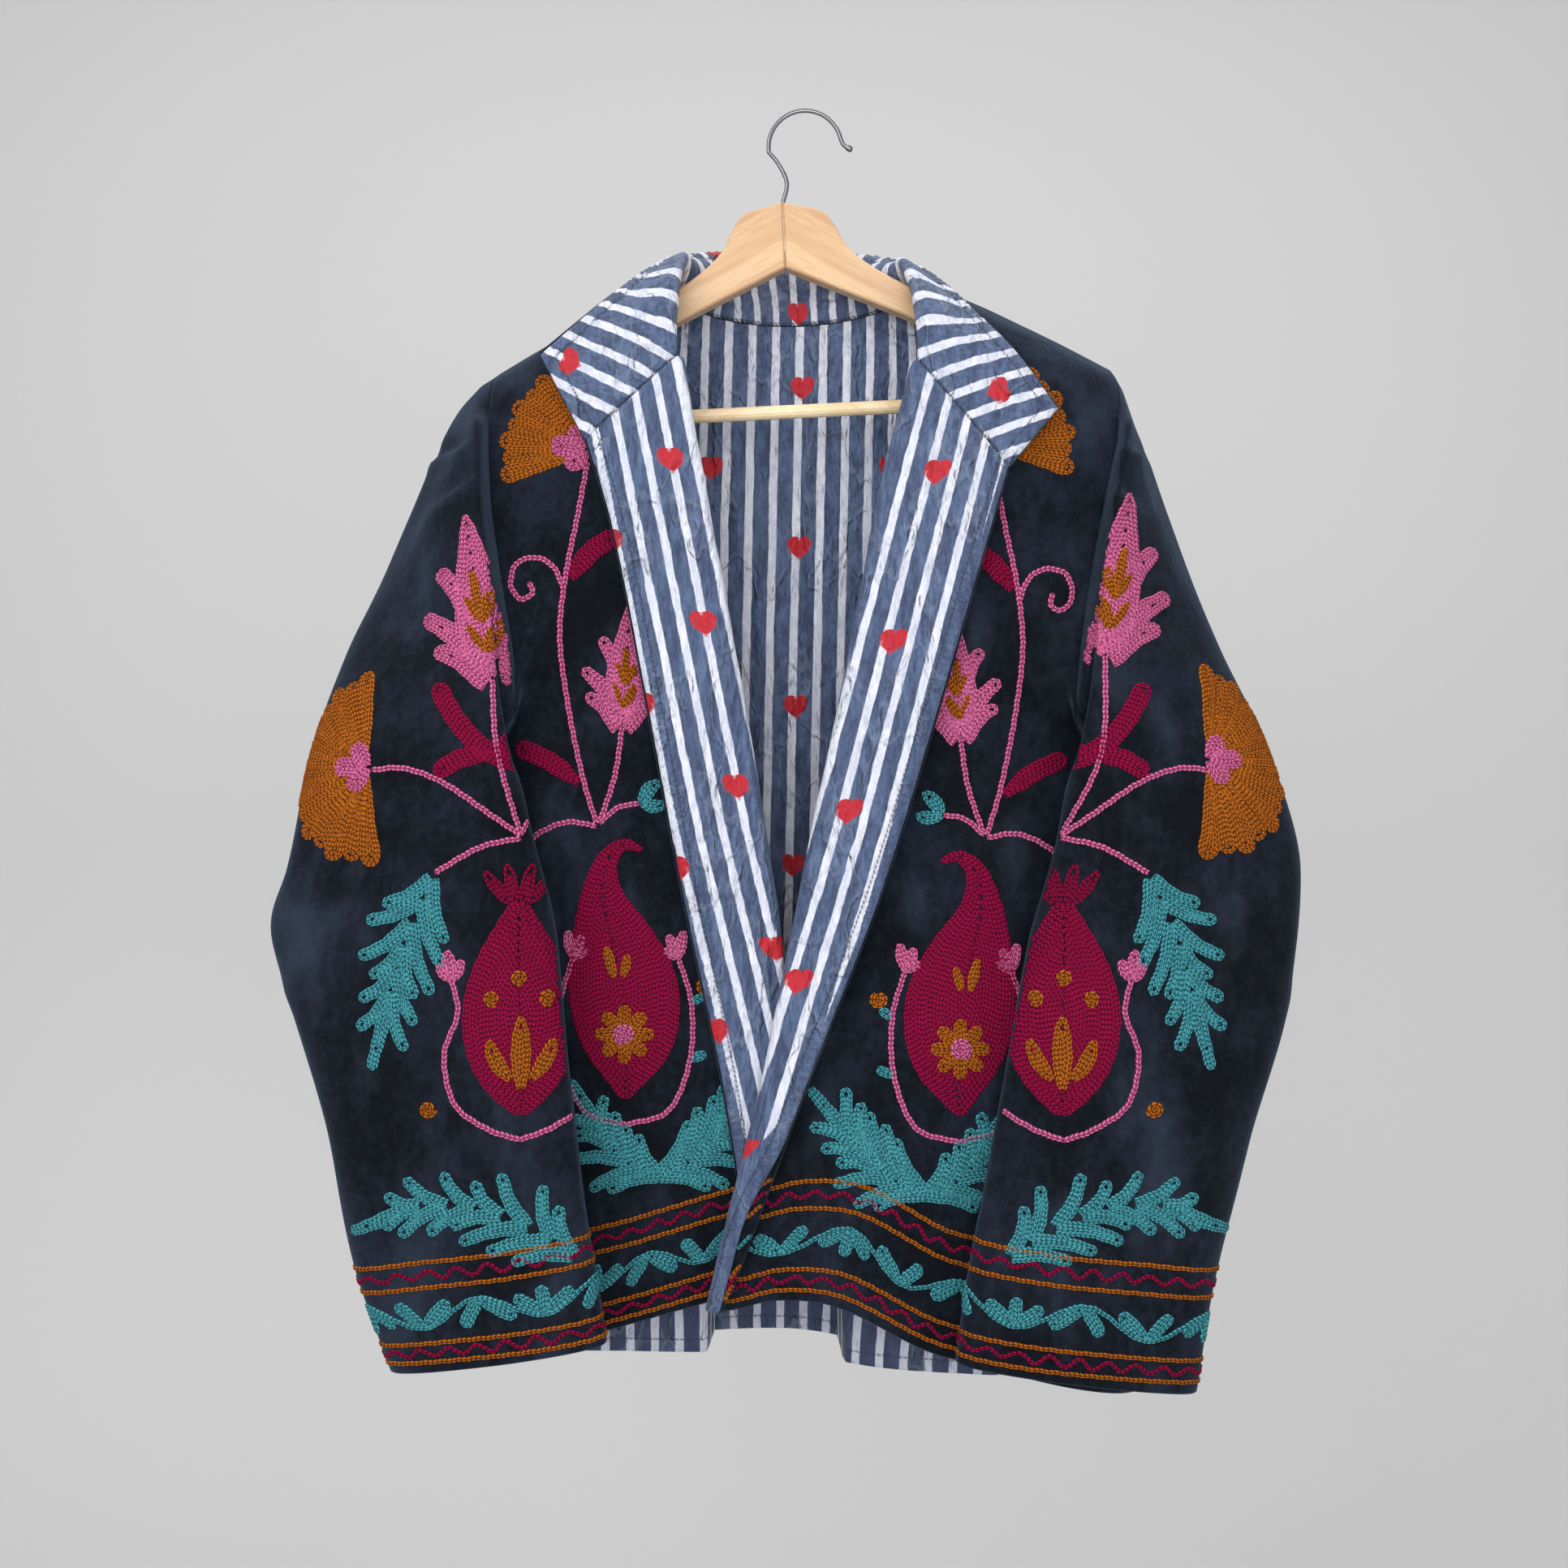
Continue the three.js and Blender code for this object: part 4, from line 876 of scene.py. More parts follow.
def cloth(name, solids, slot, panel, low, high, looks, **more):
    """One piece of cloth on a panel, in place of the solids that stand for it."""
    obj = shell(name, panel, low, high, looks, **more)
    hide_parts(*solids)
    sheets.append((obj, panel))


def velvet_wall(name, solids, panel, looks, **more):
    cloth(f"{name}_velvet", solids, "velvet", panel, 0, VELVET, looks, roll=1.0, **more)
    panels[name] = panel


def lining_wall(name, solid, panel, swell, look, **more):
    cloth(name, [solid], "cotton", panel, SEAM, SEAM + LINING + swell, [look], **more)


def make_front(name, side):
    def underarm(u, v):
        return plateau(u, 0, 0.05, 0.7, 0.25) * plateau(v, 0.25, 0.07, 0.52, 0.08)

    us = runs((0, 0.3, 22), (0.3, 1, 36), (1, 2, 10), (2, 3, 14))
    vs = runs((0.002, FOLD_AT, 18), (FOLD_AT, 1, 150))
    panel = Panel(lambda u, v: front_point(side, u, v), us, vs, -side.dir, front_folds(side), relax=underarm)
    velvet_wall(name, [name], panel, [velvet, inner_cotton],
                keep=lambda u, v: (u < 1 - 1e-6) | (v > FOLD_AT - 1e-6),
                inner_look=lambda u, v: np.where(u < 0.999, 1, 0))
    panel.stitching_base(keep=lambda u, v: u < 1.0)


# each lapel's stripes (distance, a white one's place, lean), hearts, edging, share of the lapel that is
# left bare low down, and creases
LAPELS = {
    "left": Side(stripes=(15.95, -48.3, -0.2), hearts=((-33.0, -375.7), (104.0, 112.8)),
                 edging=None, bare=0.0,
                 rows=[(-121, -262, -86, -372, 2.6, -2.0), (-116, -262, -81, -372, 3.0, 1.6)]),
    "right": Side(stripes=(16.1, 43.3, 0.26), hearts=((48.2, -505.5), (104.0, 116.8)),
                  edging=(-700.0, -765.0, 4.5, 26.0), bare=0.55,
                  rows=[(130, -330, 60, -560, 3.0, 1.3), (90, -300, 60, -420, 3.0, -1.2)])}
LAPEL_FROM, LAPEL_TO = 0.93, 3.0     # the lapel's lining, from just inside the fold to the edge
LAPEL_SHORT = 1.2                    # it stops this far from the velvet's edge


def make_lapel(word, side):
    """The turned-back lining, which stops short of the velvet's edge and ends where the edge rolls over."""
    lapel = LAPELS[word]

    def point(t, v):
        width = np.linalg.norm(front_point(side, 0 * v + 3, v) - front_point(side, 0 * v + 2, v), axis=-1)
        short = LAPEL_SHORT / np.maximum(width, 1) + lapel.bare * ease((v - 0.84) / 0.1)
        end = LAPEL_TO - np.minimum(short, 0.72)
        return front_point(side, LAPEL_FROM + clamp(t) * (end - LAPEL_FROM), v)

    panel = Panel(point, runs((0, 0.35, 6), (0.35, 1, 34)), runs((FOLD_AT, 1, 280)), side.dir)
    across = panel.lengths(0)
    from_edge = across[-1:] - across
    along = panel.lengths(1).mean(axis=0, keepdims=True) + 0 * from_edge
    swell = puckered(along, from_edge, 31) + crinkle(panel, 41 + side.dir, 0.5) * ease(from_edge / 12)
    swell = swell + creases(panel.points, lapel.rows)
    swell = np.maximum(0.9 + swell, 0) * ease(panel.u / 0.4) * ease((along + 0.5) / 4)
    period, white_at, lean = lapel.stripes
    x, z = panel.points[..., 0], panel.points[..., 2]
    stripes = (x - lean * (z + 486) + side.dir * 0.04 * np.minimum(z + 520, 0)) * math.cos(math.atan(lean))
    look = cotton_look(f"lapel_{word}_cotton", period, white_at, lapel.hearts, edging=lapel.edging)
    lining_wall(f"front_{word}_lapel_lining", f"front_{word}_lining", panel, swell, look,
                uv=np.stack([stripes, z], -1), edge=from_edge)


FLUTE = (0.36, 0.41, 0.56, 0.61)     # the sides of the back's two folds, across it


def make_back():
    a, b, c, d = FLUTE
    us = runs((0, a, 32), (a, b, 14), (b, c, 14), (c, d, 14), (d, 1, 34))
    panel = Panel(back_point, us, runs((0, 0.08, 12), (0.08, 1, 84)), 1, back_folds)
    velvet_wall("back", ["back_left", "back_middle", "back_right"], panel, [velvet])
    panel.stitching_base()


def make_back_lining():
    a, b, c, d = FLUTE
    us = runs((0, 0.26, 16), (0.26, a, 16), (a, b, 16), (b, c, 30), (c, d, 16), (d, 0.72, 18), (0.72, 1, 16))
    lining = Panel(back_point, us, runs((0, 0.08, 14), (0.08, 1, 130)), -1, lambda panel: -back_folds(panel))
    swell = (0.6 + crinkle(lining, 51, 0.55)) * ease(lining.v / 0.03)
    middle = int(np.argmin(abs(lining.us - 0.5)))
    across = lining.lengths(0)
    across = across - across[middle:middle + 1] + lining.points[middle:middle + 1, :, 0]
    down, z = lining.lengths(1), lining.points[..., 2]
    from_hem = down[:, -1:] - down
    swell = np.maximum(swell - drawn_in(from_hem), 0)
    look = cotton_look("back_cotton", 17.9, 9.4, ((12.0, -309.0), (135.6, 119.5)), bare=60.0)
    lining_wall("back_lining_cotton", "back_lining", lining, swell, look,
                uv=np.stack([across - 0.02 * (z + 280), z], -1), edge=from_hem)


def make_sleeve(name, side):
    def inner_edge(u, v):
        return plateau(u, 0.3, 0.08, 0.62, 0.06) * plateau(v, 0.03, 0.05, 0.6, 0.15)

    us = np.linspace(0, 1, 96, endpoint=False)
    vs = runs((0, 0.1, 18), (0.1, 1, 124))
    panel = Panel(lambda u, v: sleeve_point(side, u, v), us, vs, -side.dir, sleeve_folds(side), wrap=True,
                  relax=inner_edge)
    velvet_wall(name, [name], panel, [velvet, inner_cotton], inner_look=lambda u, v: np.ones(u.shape, int))
    panel.stitching_base()


COLLAR_HEARTS = [(-201, 166), (190, 138), (-6, 8), (-62, 56), (64, 56)]
COLLAR_LEAN = math.radians(29)       # how far the stripes turn at the collar's ends
COLLAR_SHORT = 3.0                   # the lining stops this far from the velvet's edge


def make_collar():
    us = runs((0, GORGE_SHARE, 38), (GORGE_SHARE, NECK_SHARE, 44), (NECK_SHARE, 1 - NECK_SHARE, 56),
              (1 - NECK_SHARE, 1 - GORGE_SHARE, 44), (1 - GORGE_SHARE, 1, 38))
    velvet_wall("collar", ["collar"], Panel(collar_point, us, runs((0, 1, 16)), -1), [velvet])
    narrower = 1 - COLLAR_SHORT / COLLAR_WIDTH
    lining = Panel(lambda u, v: collar_point(u, v * narrower), us, runs((0, 1, 36)), 1)
    down = lining.lengths(1)
    along = lining.lengths(0).mean(axis=1, keepdims=True) + 0 * down
    from_edge = np.minimum(down[:, -1:] - down, np.minimum(along, along[-1:] - along))
    swell = puckered(along, from_edge, 61) + 0.5 * noise(along / 15, down / 18, 63) * ease(from_edge / 12)
    swell = np.maximum(swell + 1.1, 0) * ease((down + 0.8) / 4)
    from_edge = np.minimum(from_edge, TOPSTITCH + np.maximum(down - 1.5, 0))
    lean = COLLAR_LEAN * (ease((0.40 - lining.u) / 0.12) - ease((lining.u - 0.60) / 0.12))
    cos, sin, middle = np.cos(lean), np.sin(lean), along - 0.5 * along[-1:]
    look = cotton_look("collar_cotton", 16.0, 7.0, spots=COLLAR_HEARTS)
    lining_wall("collar_lining_cotton", "collar_lining", lining, swell, look, edge=from_edge,
                uv=np.stack([middle * cos + down * sin, down * cos - middle * sin], -1))


SIDES = {"left": LEFT, "right": RIGHT}
for word, side in SIDES.items():
    make_front(f"front_{word}", side)
    make_lapel(word, side)
make_back()
make_back_lining()
for word, side in SIDES.items():
    make_sleeve(f"sleeve_{word}", side)
make_collar()


# ------------------------------------------------------------------ embroidery
STITCH, ROW = LINK / 2, 2.4          # the step along a row, and the distance between rows
ROW_HALF, STEM_HALF = 1.3, 2.3       # half a row's width; a stem is one bold chain
ROW_HEIGHT, LINE_HEIGHT = 1.25, 1.3
LINE_HALF = {"gold": 1.8, "magenta": 1.6, "teal": 1.9}      # the border's lines
ON_TOP = 0.9                         # gold flames and rosettes lie over the rows below them
FINGER_HALF = 3.9                    # half the width of a fern's fingers
SECTION = np.array([(-1, -0.3), (-0.62, 1), (0, 0.62), (0.62, 1), (1, -0.3)])
SKIRTED = np.array([(-1.6, -0.2), (-0.66, 1), (0, 0.62), (0.66, 1), (1.6, -0.2)])


def even(points, step=STITCH):
    """The same line in even steps."""
    points = np.asarray(points, float)
    run = travelled(points)
    at = np.linspace(0, run[-1], max(2, int(round(run[-1] / step))) + 1)
    return np.stack([np.interp(at, run, points[:, k]) for k in range(points.shape[1])], -1)


def curve(points, step=STITCH):
    """A smooth line through a few points, in even steps."""
    p = np.array(points, float)
    wide = np.vstack([2 * p[0] - p[1], p, 2 * p[-1] - p[-2]])
    t = np.linspace(0, 1, 14, endpoint=False)[:, None]
    parts = [0.5 * (2 * b + (c - a) * t + (2 * a - 5 * b + 4 * c - d) * t ** 2
                    + (3 * b - a - 3 * c + d) * t ** 3)
             for a, b, c, d in (wide[k:k + 4] for k in range(len(p) - 1))]
    return even(np.vstack(parts + [p[-1:]]), step)


def heading(angle):
    """The way that an angle in degrees points."""
    a = math.radians(angle)
    return np.array([math.cos(a), math.sin(a)])


def angle_of(step):
    return math.degrees(math.atan2(step[1], step[0]))


def toward(start, angle, length, bend=0.0):
    """A line from a start at an angle in degrees, with a bend to one side."""
    d = heading(angle)
    n = np.array([-d[1], d[0]])
    start = np.array(start, float)
    return [start, start + d * length * 0.5 + n * bend, start + d * length]


def loops(line, widths, closed=False):
    """Rows that follow a shape's outline, one inside the other; the half widths stand at even steps."""
    mid = curve(line, 1.0)
    length = float(len(mid) - 1)
    s = np.linspace(0, 1, len(mid))
    tangent = unit(np.gradient(mid, axis=0))
    side = np.stack([-tangent[:, 1], tangent[:, 0]], -1)
    across = 2 * max(widths)
    apart = (across - ROW) / max(round(across / ROW) - 1, 1)
    rows, inset = [], ROW / 2
    while inset < length / 2:
        first, last = (inset / length if closed else 0.0), 1 - inset / length
        room = np.interp((s - first) / (last - first), np.linspace(0, 1, len(widths)), widths) - inset
        inside = np.flatnonzero((s >= first) & (s <= last) & (room > -0.05))
        if len(inside) < 3:
            break
        part = slice(inside[0], inside[-1] + 1)
        if room.max() < 0.35 * ROW:
            rows.append(even(mid[(s >= first) & (s <= last) & (room > -0.45 * ROW)]))
            break
        out = side[part] * np.maximum(room[part], 0)[:, None]
        ring = [mid[part] + out, (mid[part] - out)[::-1]]
        rows.append(even(np.concatenate(ring + [ring[0][:1]] if closed else ring)))
        between = np.flatnonzero((s >= first) & (s <= last) & (room > 0.6 * apart) & (room < apart))
        gaps = np.split(between, np.flatnonzero(np.diff(between) > 1) + 1)
        rows += [even(mid[gap]) for gap in gaps if len(gap) > 3]
        inset += apart
    return rows


def round_end(at, length, half):
    """How wide a shape is, as a share, on its way into a half round at its end."""
    return np.sqrt(1 - clamp((at - (length - half)) / half) ** 2)


def rounded(length, half, at_start=0.45):
    """Half widths of a finger that widens from its start and ends in a half round."""
    at = np.linspace(0, length, 40)
    return half * lerp(at_start, 1, ease(at / (0.35 * length))) * round_end(at, length, half)


def tongue(start, angle, length, wide, half, bend=0.0):
    """A petal or leaf that narrows from its start to a half round."""
    at = np.linspace(0, length, 40)
    widths = lerp(wide, half, ease(clamp(at / (length - half)))) * round_end(at, length, half)
    return loops(toward(start, angle, length, bend), widths)


def petal(start, angle, length, half, bend=0.0, blunt=False):
    """A petal that widens from its start, and ends in a point or a half round."""
    at = np.linspace(0, 1, 40)
    pointed = half * np.interp(at, (0, 0.2, 0.45, 0.7, 0.88, 1), (0.35, 0.8, 1, 0.86, 0.55, 0.1))
    return loops(toward(start, angle, length, bend), rounded(length, half) if blunt else pointed)


def petals(start, angles, length, half):
    """Round-ended petals about one point."""
    return [row for angle in angles for row in petal(start, angle, length, half, blunt=True)]


def fan(base, radius, first, last, count, hub=0.1):
    """Round-ended wedges side by side round a base."""
    rows = []
    wedge = (last - first) / count
    narrow = math.sin(math.radians(abs(wedge) / 2))
    for k in range(count):
        d = heading(first + (k + 0.5) * wedge)
        long = radius * (1 - 0.05 * (k % 2))
        end = long * narrow / (1 + narrow)
        at = np.linspace(hub * long, long, 60)
        side = at * narrow * lerp(1.35, 1.0, ease(at / long / 0.8)) + 0.3
        widths = np.where(at < long - end, side, np.sqrt(np.maximum(end ** 2 - (at - long + end) ** 2, 0)))
        rows += loops([base + d * long * hub, base + d * long * 0.6, base + d * long], widths)
    return rows


def fern(line, count, length, lean):
    """A stem with long fingers down both sides, which lean further forward towards its tip."""
    stem, half = curve(line), FINGER_HALF
    rows = []
    for k in range(count):
        at = k / count
        i = min(int(at * (len(stem) - 1)), len(stem) - 2)
        ahead = angle_of(stem[i + 1] - stem[i])
        size = length * (1.1 - 0.35 * at) * (0.88 + 0.12 * ((k * 7) % 3))
        for side in (1, -1):
            turn = side * (lean - 16 * at + 4 * ((k * 5) % 3 - 1))
            long = size * (1 if side > 0 else 0.86)
            rows += tongue(stem[i], ahead + turn, long, half * 1.25, half, -side * 3)
    return rows + tongue(stem[-4], angle_of(stem[-1] - stem[-5]), length * 0.95, half * 1.3, half * 0.9)


def disc(centre, radius):
    """A filled dot, worked round and round."""
    turns = max(1.0, radius / ROW)
    a = np.linspace(0, TURN * turns, int(30 * turns))
    r = np.linspace(ROW * 0.3, radius, len(a))
    return [even(np.stack([centre[0] + r * np.cos(a), centre[1] + r * np.sin(a)], -1))]


def tulip(base, angle, length):
    """A flower in profile: a tall pointed petal, three petals down each side, and thin flames inside."""
    axis, base = heading(angle), np.array(base, float)
    widths = (0.02, 0.09, 0.13, 0.15, 0.155, 0.15, 0.14, 0.125, 0.105, 0.085, 0.065, 0.045, 0.01)
    pink = loops([base, base + axis * length * 0.5, base + axis * length], [length * wide for wide in widths])
    for side in (1, -1):
        for at, turn, share in ((0.02, 55, 0.38), (0.1, 45, 0.49), (0.32, 30, 0.44)):
            start = base + axis * length * at
            pink += tongue(start, angle + side * turn, length * share, length * 0.1, length * 0.048,
                           -side * 2)
    gold = petal(base + axis * length * 0.36, angle + 2, length * 0.32, length * 0.026)
    for side, wide in ((1, 0.022), (-1, 0.036)):
        gold += petal(base + axis * length * 0.16, angle + side * 26, length * 0.22, length * wide)
        gold += petal(base + axis * length * 0.34, angle + side * 24, length * 0.2, length * wide)
    return pink, gold


LEAP = 6                             # a row that jumps further than this many stitches is broken


class Stitches:
    """Rows of chain stitch on one panel, as raised strips."""

    def __init__(self, name):
        self.name = name
        self.points, self.quads, self.caps, self.tips = [], [], [], []
        self.uv, self.colours, self.count = [], [], 0

    def strip(self, spots, normals, colour, half, height, filled=False):
        """One row; a filled shape's rows have a low skirt that closes the gaps between them."""
        section = SKIRTED if filled else SECTION
        spots, normals = np.array(spots), np.array(normals)
        n, k = len(spots), len(section)
        tangent = unit(np.gradient(spots, axis=0))
        side = unit(np.cross(normals, tangent))
        up = unit(np.cross(tangent, side))
        swell = np.where((np.arange(n) + len(self.points)) % 2 == 0, 1.0, 0.66)
        swell[[0, -1]] *= 0.6
        wide, high = half * (0.55 + 0.45 * swell), height * swell
        drift = 0.22 * np.sin(np.arange(n) * 0.9 + 1.7 * len(self.points))
        spots = spots + side * drift[:, None]
        raised = np.where(section[:, 1] > 0.3, section[:, 1] * high[:, None], section[:, 1])
        ring = spots[:, None] + side[:, None] * (section[:, 0] * wide[:, None])[..., None]
        ring = ring + up[:, None] * raised[..., None]
        ids = self.count + np.arange(n * k).reshape(n, k)
        around = np.roll(ids, -1, axis=1)
        self.quads.append(np.stack([ids[:-1], ids[1:], around[1:], around[:-1]], -1).reshape(-1, 4)[:, ::-1])
        for cap in (ids[0], ids[-1][::-1]):
            self.caps.append(cap[[0, 1, 3, 4]])
            self.tips.append(cap[[1, 2, 3]])
        self.points.append(ring.reshape(-1, 3))
        run = travelled(spots) + 1.7 * (len(self.points) % 5)
        self.uv.append(np.stack(np.broadcast_arrays(run[:, None], section[:, 0]), -1).reshape(-1, 2))
        self.colours.append(COLOURS.index(colour))
        self.count += n * k

    def lay(self, cloth, rows, colour, half=ROW_HALF, height=ROW_HEIGHT, lift=0.0):
        """Rows of flat points, laid on the cloth and broken where they run off it or over an edge."""
        for row in rows:
            spots, normals = [], []
            for hit in cloth(row) + [None]:
                far = spots and hit is not None and math.dist(spots[-1], hit[0]) > LEAP * STITCH
                if hit is None or far:
                    if len(spots) > 2:
                        self.strip(spots, normals, colour, half, height, len(rows) > 2)
                    spots, normals = [], []
                if hit is not None:
                    spots.append(tuple(a + lift * n for a, n in zip(*hit)))
                    normals.append(hit[1])

    def finish(self):
        faces = [np.concatenate(self.quads), np.array(self.caps), np.array(self.tips)]
        in_strips = [len(quads) for quads in self.quads]
        looks = np.concatenate([np.repeat(self.colours, each) for each in (in_strips, 2, 2)])
        obj = build(self.name, np.concatenate(self.points), faces, list(WOOLS.values()), looks,
                    np.concatenate(self.uv))


BANDS = ((6, "gold"), (12.5, "magenta"), (19, "gold"), (57, "gold"), (65.5, "magenta"), (74, "gold"))
VINE_AT, VINE_WAVE, VINE_SWING = 38.0, 80.0, 8.5
VINE_LEAVES = (((34, 25, 4.2), (86, 20, 4.2), (138, 23, 4.2)), ((38, 27, 4.6), (128, 24, 4.2)))
ZIGZAG, ZIGZAG_SWING = 20.0, 2.5
TALL = 1.14                          # the right side's border is this much taller than the left's


def border(stitches, panel, start, end, phase=0.0, tall=1.0):
    """Gold lines in pairs with a zigzag between them, and a leafy vine between the pairs."""
    cloth = panel.along_hem()
    run = np.arange(start, end, STITCH)
    level = lambda height: np.stack([run, height + 0.8 * np.sin(run / 41 + phase)], -1)
    for height, colour in BANDS:
        line = level(height * tall)
        if colour == "magenta":
            uneven = 1 + 0.4 * noise(run / 30, 0 * run, 71)
            line[:, 1] += ZIGZAG_SWING * uneven * np.sin(TURN * run / ZIGZAG + phase + 1.2 * uneven)
        stitches.lay(cloth, [line], colour, LINE_HALF[colour], LINE_HEIGHT)
    stem = level(VINE_AT * tall)
    turns = TURN * run / (VINE_WAVE * tall) + phase
    stem[:, 1] += VINE_SWING * tall * np.sin(turns)
    stitches.lay(cloth, [stem], "teal", LINE_HALF["teal"], LINE_HEIGHT)
    rows = []
    for k in range(int(turns[0] / math.pi), int(turns[-1] / math.pi) + 1):
        i = int(np.argmin(abs(turns - (k + 0.5) * math.pi)))
        if abs(turns[i] - (k + 0.5) * math.pi) < 0.1:
            up = -1 if k % 2 == 0 else 1
            for turn, size, half in VINE_LEAVES[1 if k % 3 else 0]:
                rows += petal(stem[i], up * turn, size, half, blunt=True)
    stitches.lay(cloth, rows, "teal")


class Motifs(list):
    """Flowers and leaves as (colour, lift, rows), in millimetres across and up."""

    def add(self, colour, rows, lift=0.0):
        self.append((colour, lift, rows))

    def stem(self, *points):
        self.add("pink", [curve(points)])

    def tulip(self, *sizes):
        pink, gold = tulip(*sizes)
        self.add("pink", pink)
        self.add("gold", gold, ON_TOP)


def buds(start, side, *sizes):
    """Pointed buds on the end of a stalk: the turn from upright, the length and half width of each."""
    return [row for turn, length, half in sizes for row in petal(start, 90 + side * turn, length, half)]


def front_motifs(fan_base):
    """The left front's motifs, with its gold fan at a point."""
    made = Motifs()
    made.add("gold", fan(np.array(fan_base), 67, 96, 201, 9))
    for turn in (118, 172, 226):
        hub = (fan_base[0] - 4, fan_base[1] + 1)
        made.add("pink", petal(hub, turn, 25 if turn == 172 else 19, 7.2, blunt=True), ON_TOP)
    made.stem((-137, -262), (-144, -300), (-152, -340), (-156, -384), (-151, -430), (-141, -480),
              (-131, -514))
    made.stem((-153, -352), (-160, -336), (-172, -329), (-186, -333), (-190, -348), (-183, -358),
              (-175, -354), (-177, -346))
    made.add("magenta", petal((-149, -343), 42, 46, 6.6, 4, blunt=True))
    made.tulip((-113, -447), 86, 88)
    made.stem((-113, -447), (-118, -480), (-129, -514))
    made.add("magenta", petal((-143, -486), 150, 52, 6.2, -3, blunt=True))
    made.stem((-129, -514), (-116, -503), (-101, -500))
    made.add("teal", petal((-100, -500), 48, 22, 5.0, 2) + petal((-100, -500), 0, 20, 4.6, -2))
    made.stem((-131, -516), (-150, -513), (-168, -519), (-186, -532))
    # a curled drop with a rosette in it, and a spray on each side
    drop = [(-98, -533), (-112, -529), (-124, -541), (-127, -566), (-120, -600), (-112, -636), (-110, -670),
            (-112, -708)]
    made.add("magenta", loops(drop, (1.6, 3.5, 6, 9, 13, 18, 24, 29.5, 34, 37, 38.5, 38, 36, 32, 25, 14, 3),
                              closed=True))
    rosette = (-112, -662)
    made.add("gold", petals(rosette, range(90, 450, 45), 21, 4.4), ON_TOP)
    made.add("pink", disc(rosette, 6.5), 2 * ON_TOP)
    made.add("gold", petal((-119, -622), 104, 25, 3.4) + petal((-113, -622), 76, 19, 3.0), ON_TOP)
    for side in (-1, 1):
        x = -111 + side * 30
        stem = [(-111, -726), (x, -716), (x + side * 15, -680), (x + side * 16, -640), (x + side * 7, -608)]
        made.stem(*stem)
        made.add("pink", buds(stem[-1], side, (24, 19, 4.2), (-12, 21, 4.2), (62, 13, 3.6)))
        made.add("gold", disc((x + side * 25, -628), 5.2))
        made.add("teal", petal(stem[2], 90 - side * 70, 13, 3.2, blunt=True)
                 + petal(stem[3], 90 - side * 60, 11, 3.0, blunt=True))
    made.add("teal", fern([(-88, -762), (-72, -755), (-52, -741), (-32, -718)], 6, 46, 42))
    made.add("teal", fern([(-88, -762), (-106, -754), (-122, -740), (-134, -722)], 5, 40, 44))
    return made


def sleeve_motifs(flower):
    """The left sleeve's motifs, seen from the front, with its tall pink flower above a point."""
    made = Motifs()
    made.tulip(flower, 101, 118)
    made.stem(flower, (flower[0] + 4, -466), (-178, -521))
    made.stem((-279, -477), (-256, -476), (-228, -486), (-196, -508), (-178, -521))
    leaf = [(-172, -476), (-200, -464), (-220, -444), (-236, -418)]
    made.add("magenta", loops(leaf, rounded(86, 6.4, 0.8)))
    made.add("magenta", petal((-196, -466), 200, 42, 6.0, -4, blunt=True))
    made.add("magenta", petal((-192, -470), 70, 34, 5.6, -2, blunt=True))
    made.stem((-178, -523), (-204, -529), (-234, -546))
    made.stem((-178, -521), (-171, -505), (-165, -496))
    made.add("teal", fern([(-236, -550), (-249, -578), (-260, -612), (-268, -642)], 6, 46, 42))
    # a pomegranate with a crown, and buds on curled stalks beside it
    made.add("magenta", loops([(-178, -566), (-178, -600), (-177, -640), (-176, -680), (-175, -708)],
                              (6, 12, 18, 24, 29, 33, 36, 37.5, 38, 37, 35, 31, 25, 16, 4), closed=True))
    for turn in (-38, -13, 13, 38):
        made.add("magenta", petal((-178 - turn * 0.16, -567), 90 + turn, 30, 4.6))
    made.add("gold", petal((-176, -690), 90, 50, 6.4) + petal((-183, -684), 118, 32, 5.0, 2)
             + petal((-169, -684), 62, 32, 5.0, -2), ON_TOP)
    for dot in ((-177, -616), (-195, -630), (-159, -630)):
        made.add("gold", disc(dot, 4.4), ON_TOP)
    for side in (-1, 1):
        way = ((0, -724), (22, -716), (44, -700), (51, -668), (42, -640), (46, -618))
        stalk = [(-176 + side * out, z) for out, z in way]
        made.stem(*stalk)
        made.add("pink", buds(stalk[-1], side, (-10, 22, 4.8), (-44, 16, 4.0), (28, 17, 4.0)))
        made.add("gold", disc((-176 + side * 62, -704), 4.8))
    made.add("teal", fern([(-142, -802), (-170, -783), (-206, -770), (-244, -770), (-262, -776)], 7, 42, 44))
    return made


def elbow_motifs():
    """The half-round flower that wraps the outer elbow, about the middle of its straight side."""
    made = Motifs()
    made.add("gold", fan(np.array([0.0, 0.0]), 68, 96, 280, 15))
    for turn in (128, 180, 232):
        made.add("pink", petal((0, 0), turn, 26 if turn == 180 else 20, 6.2, blunt=True), ON_TOP)
    return made


def work(stitches, cloth, motifs, side, shift=(0, 0)):
    """Motifs, on the right side the other way round and moved; a row by itself is a bold stem."""
    for colour, lift, rows in motifs:
        if side.dir < 0:
            rows = [np.asarray(row, float) * (-1, 1) + shift for row in rows]
        stitches.lay(cloth, rows, colour, half=STEM_HALF if len(rows) == 1 else ROW_HALF, lift=lift)


def run_at(panel, u):
    """How far along the hem a column of the panel stands."""
    return panel.hem_run[int(np.argmin(abs(panel.us - u)))]


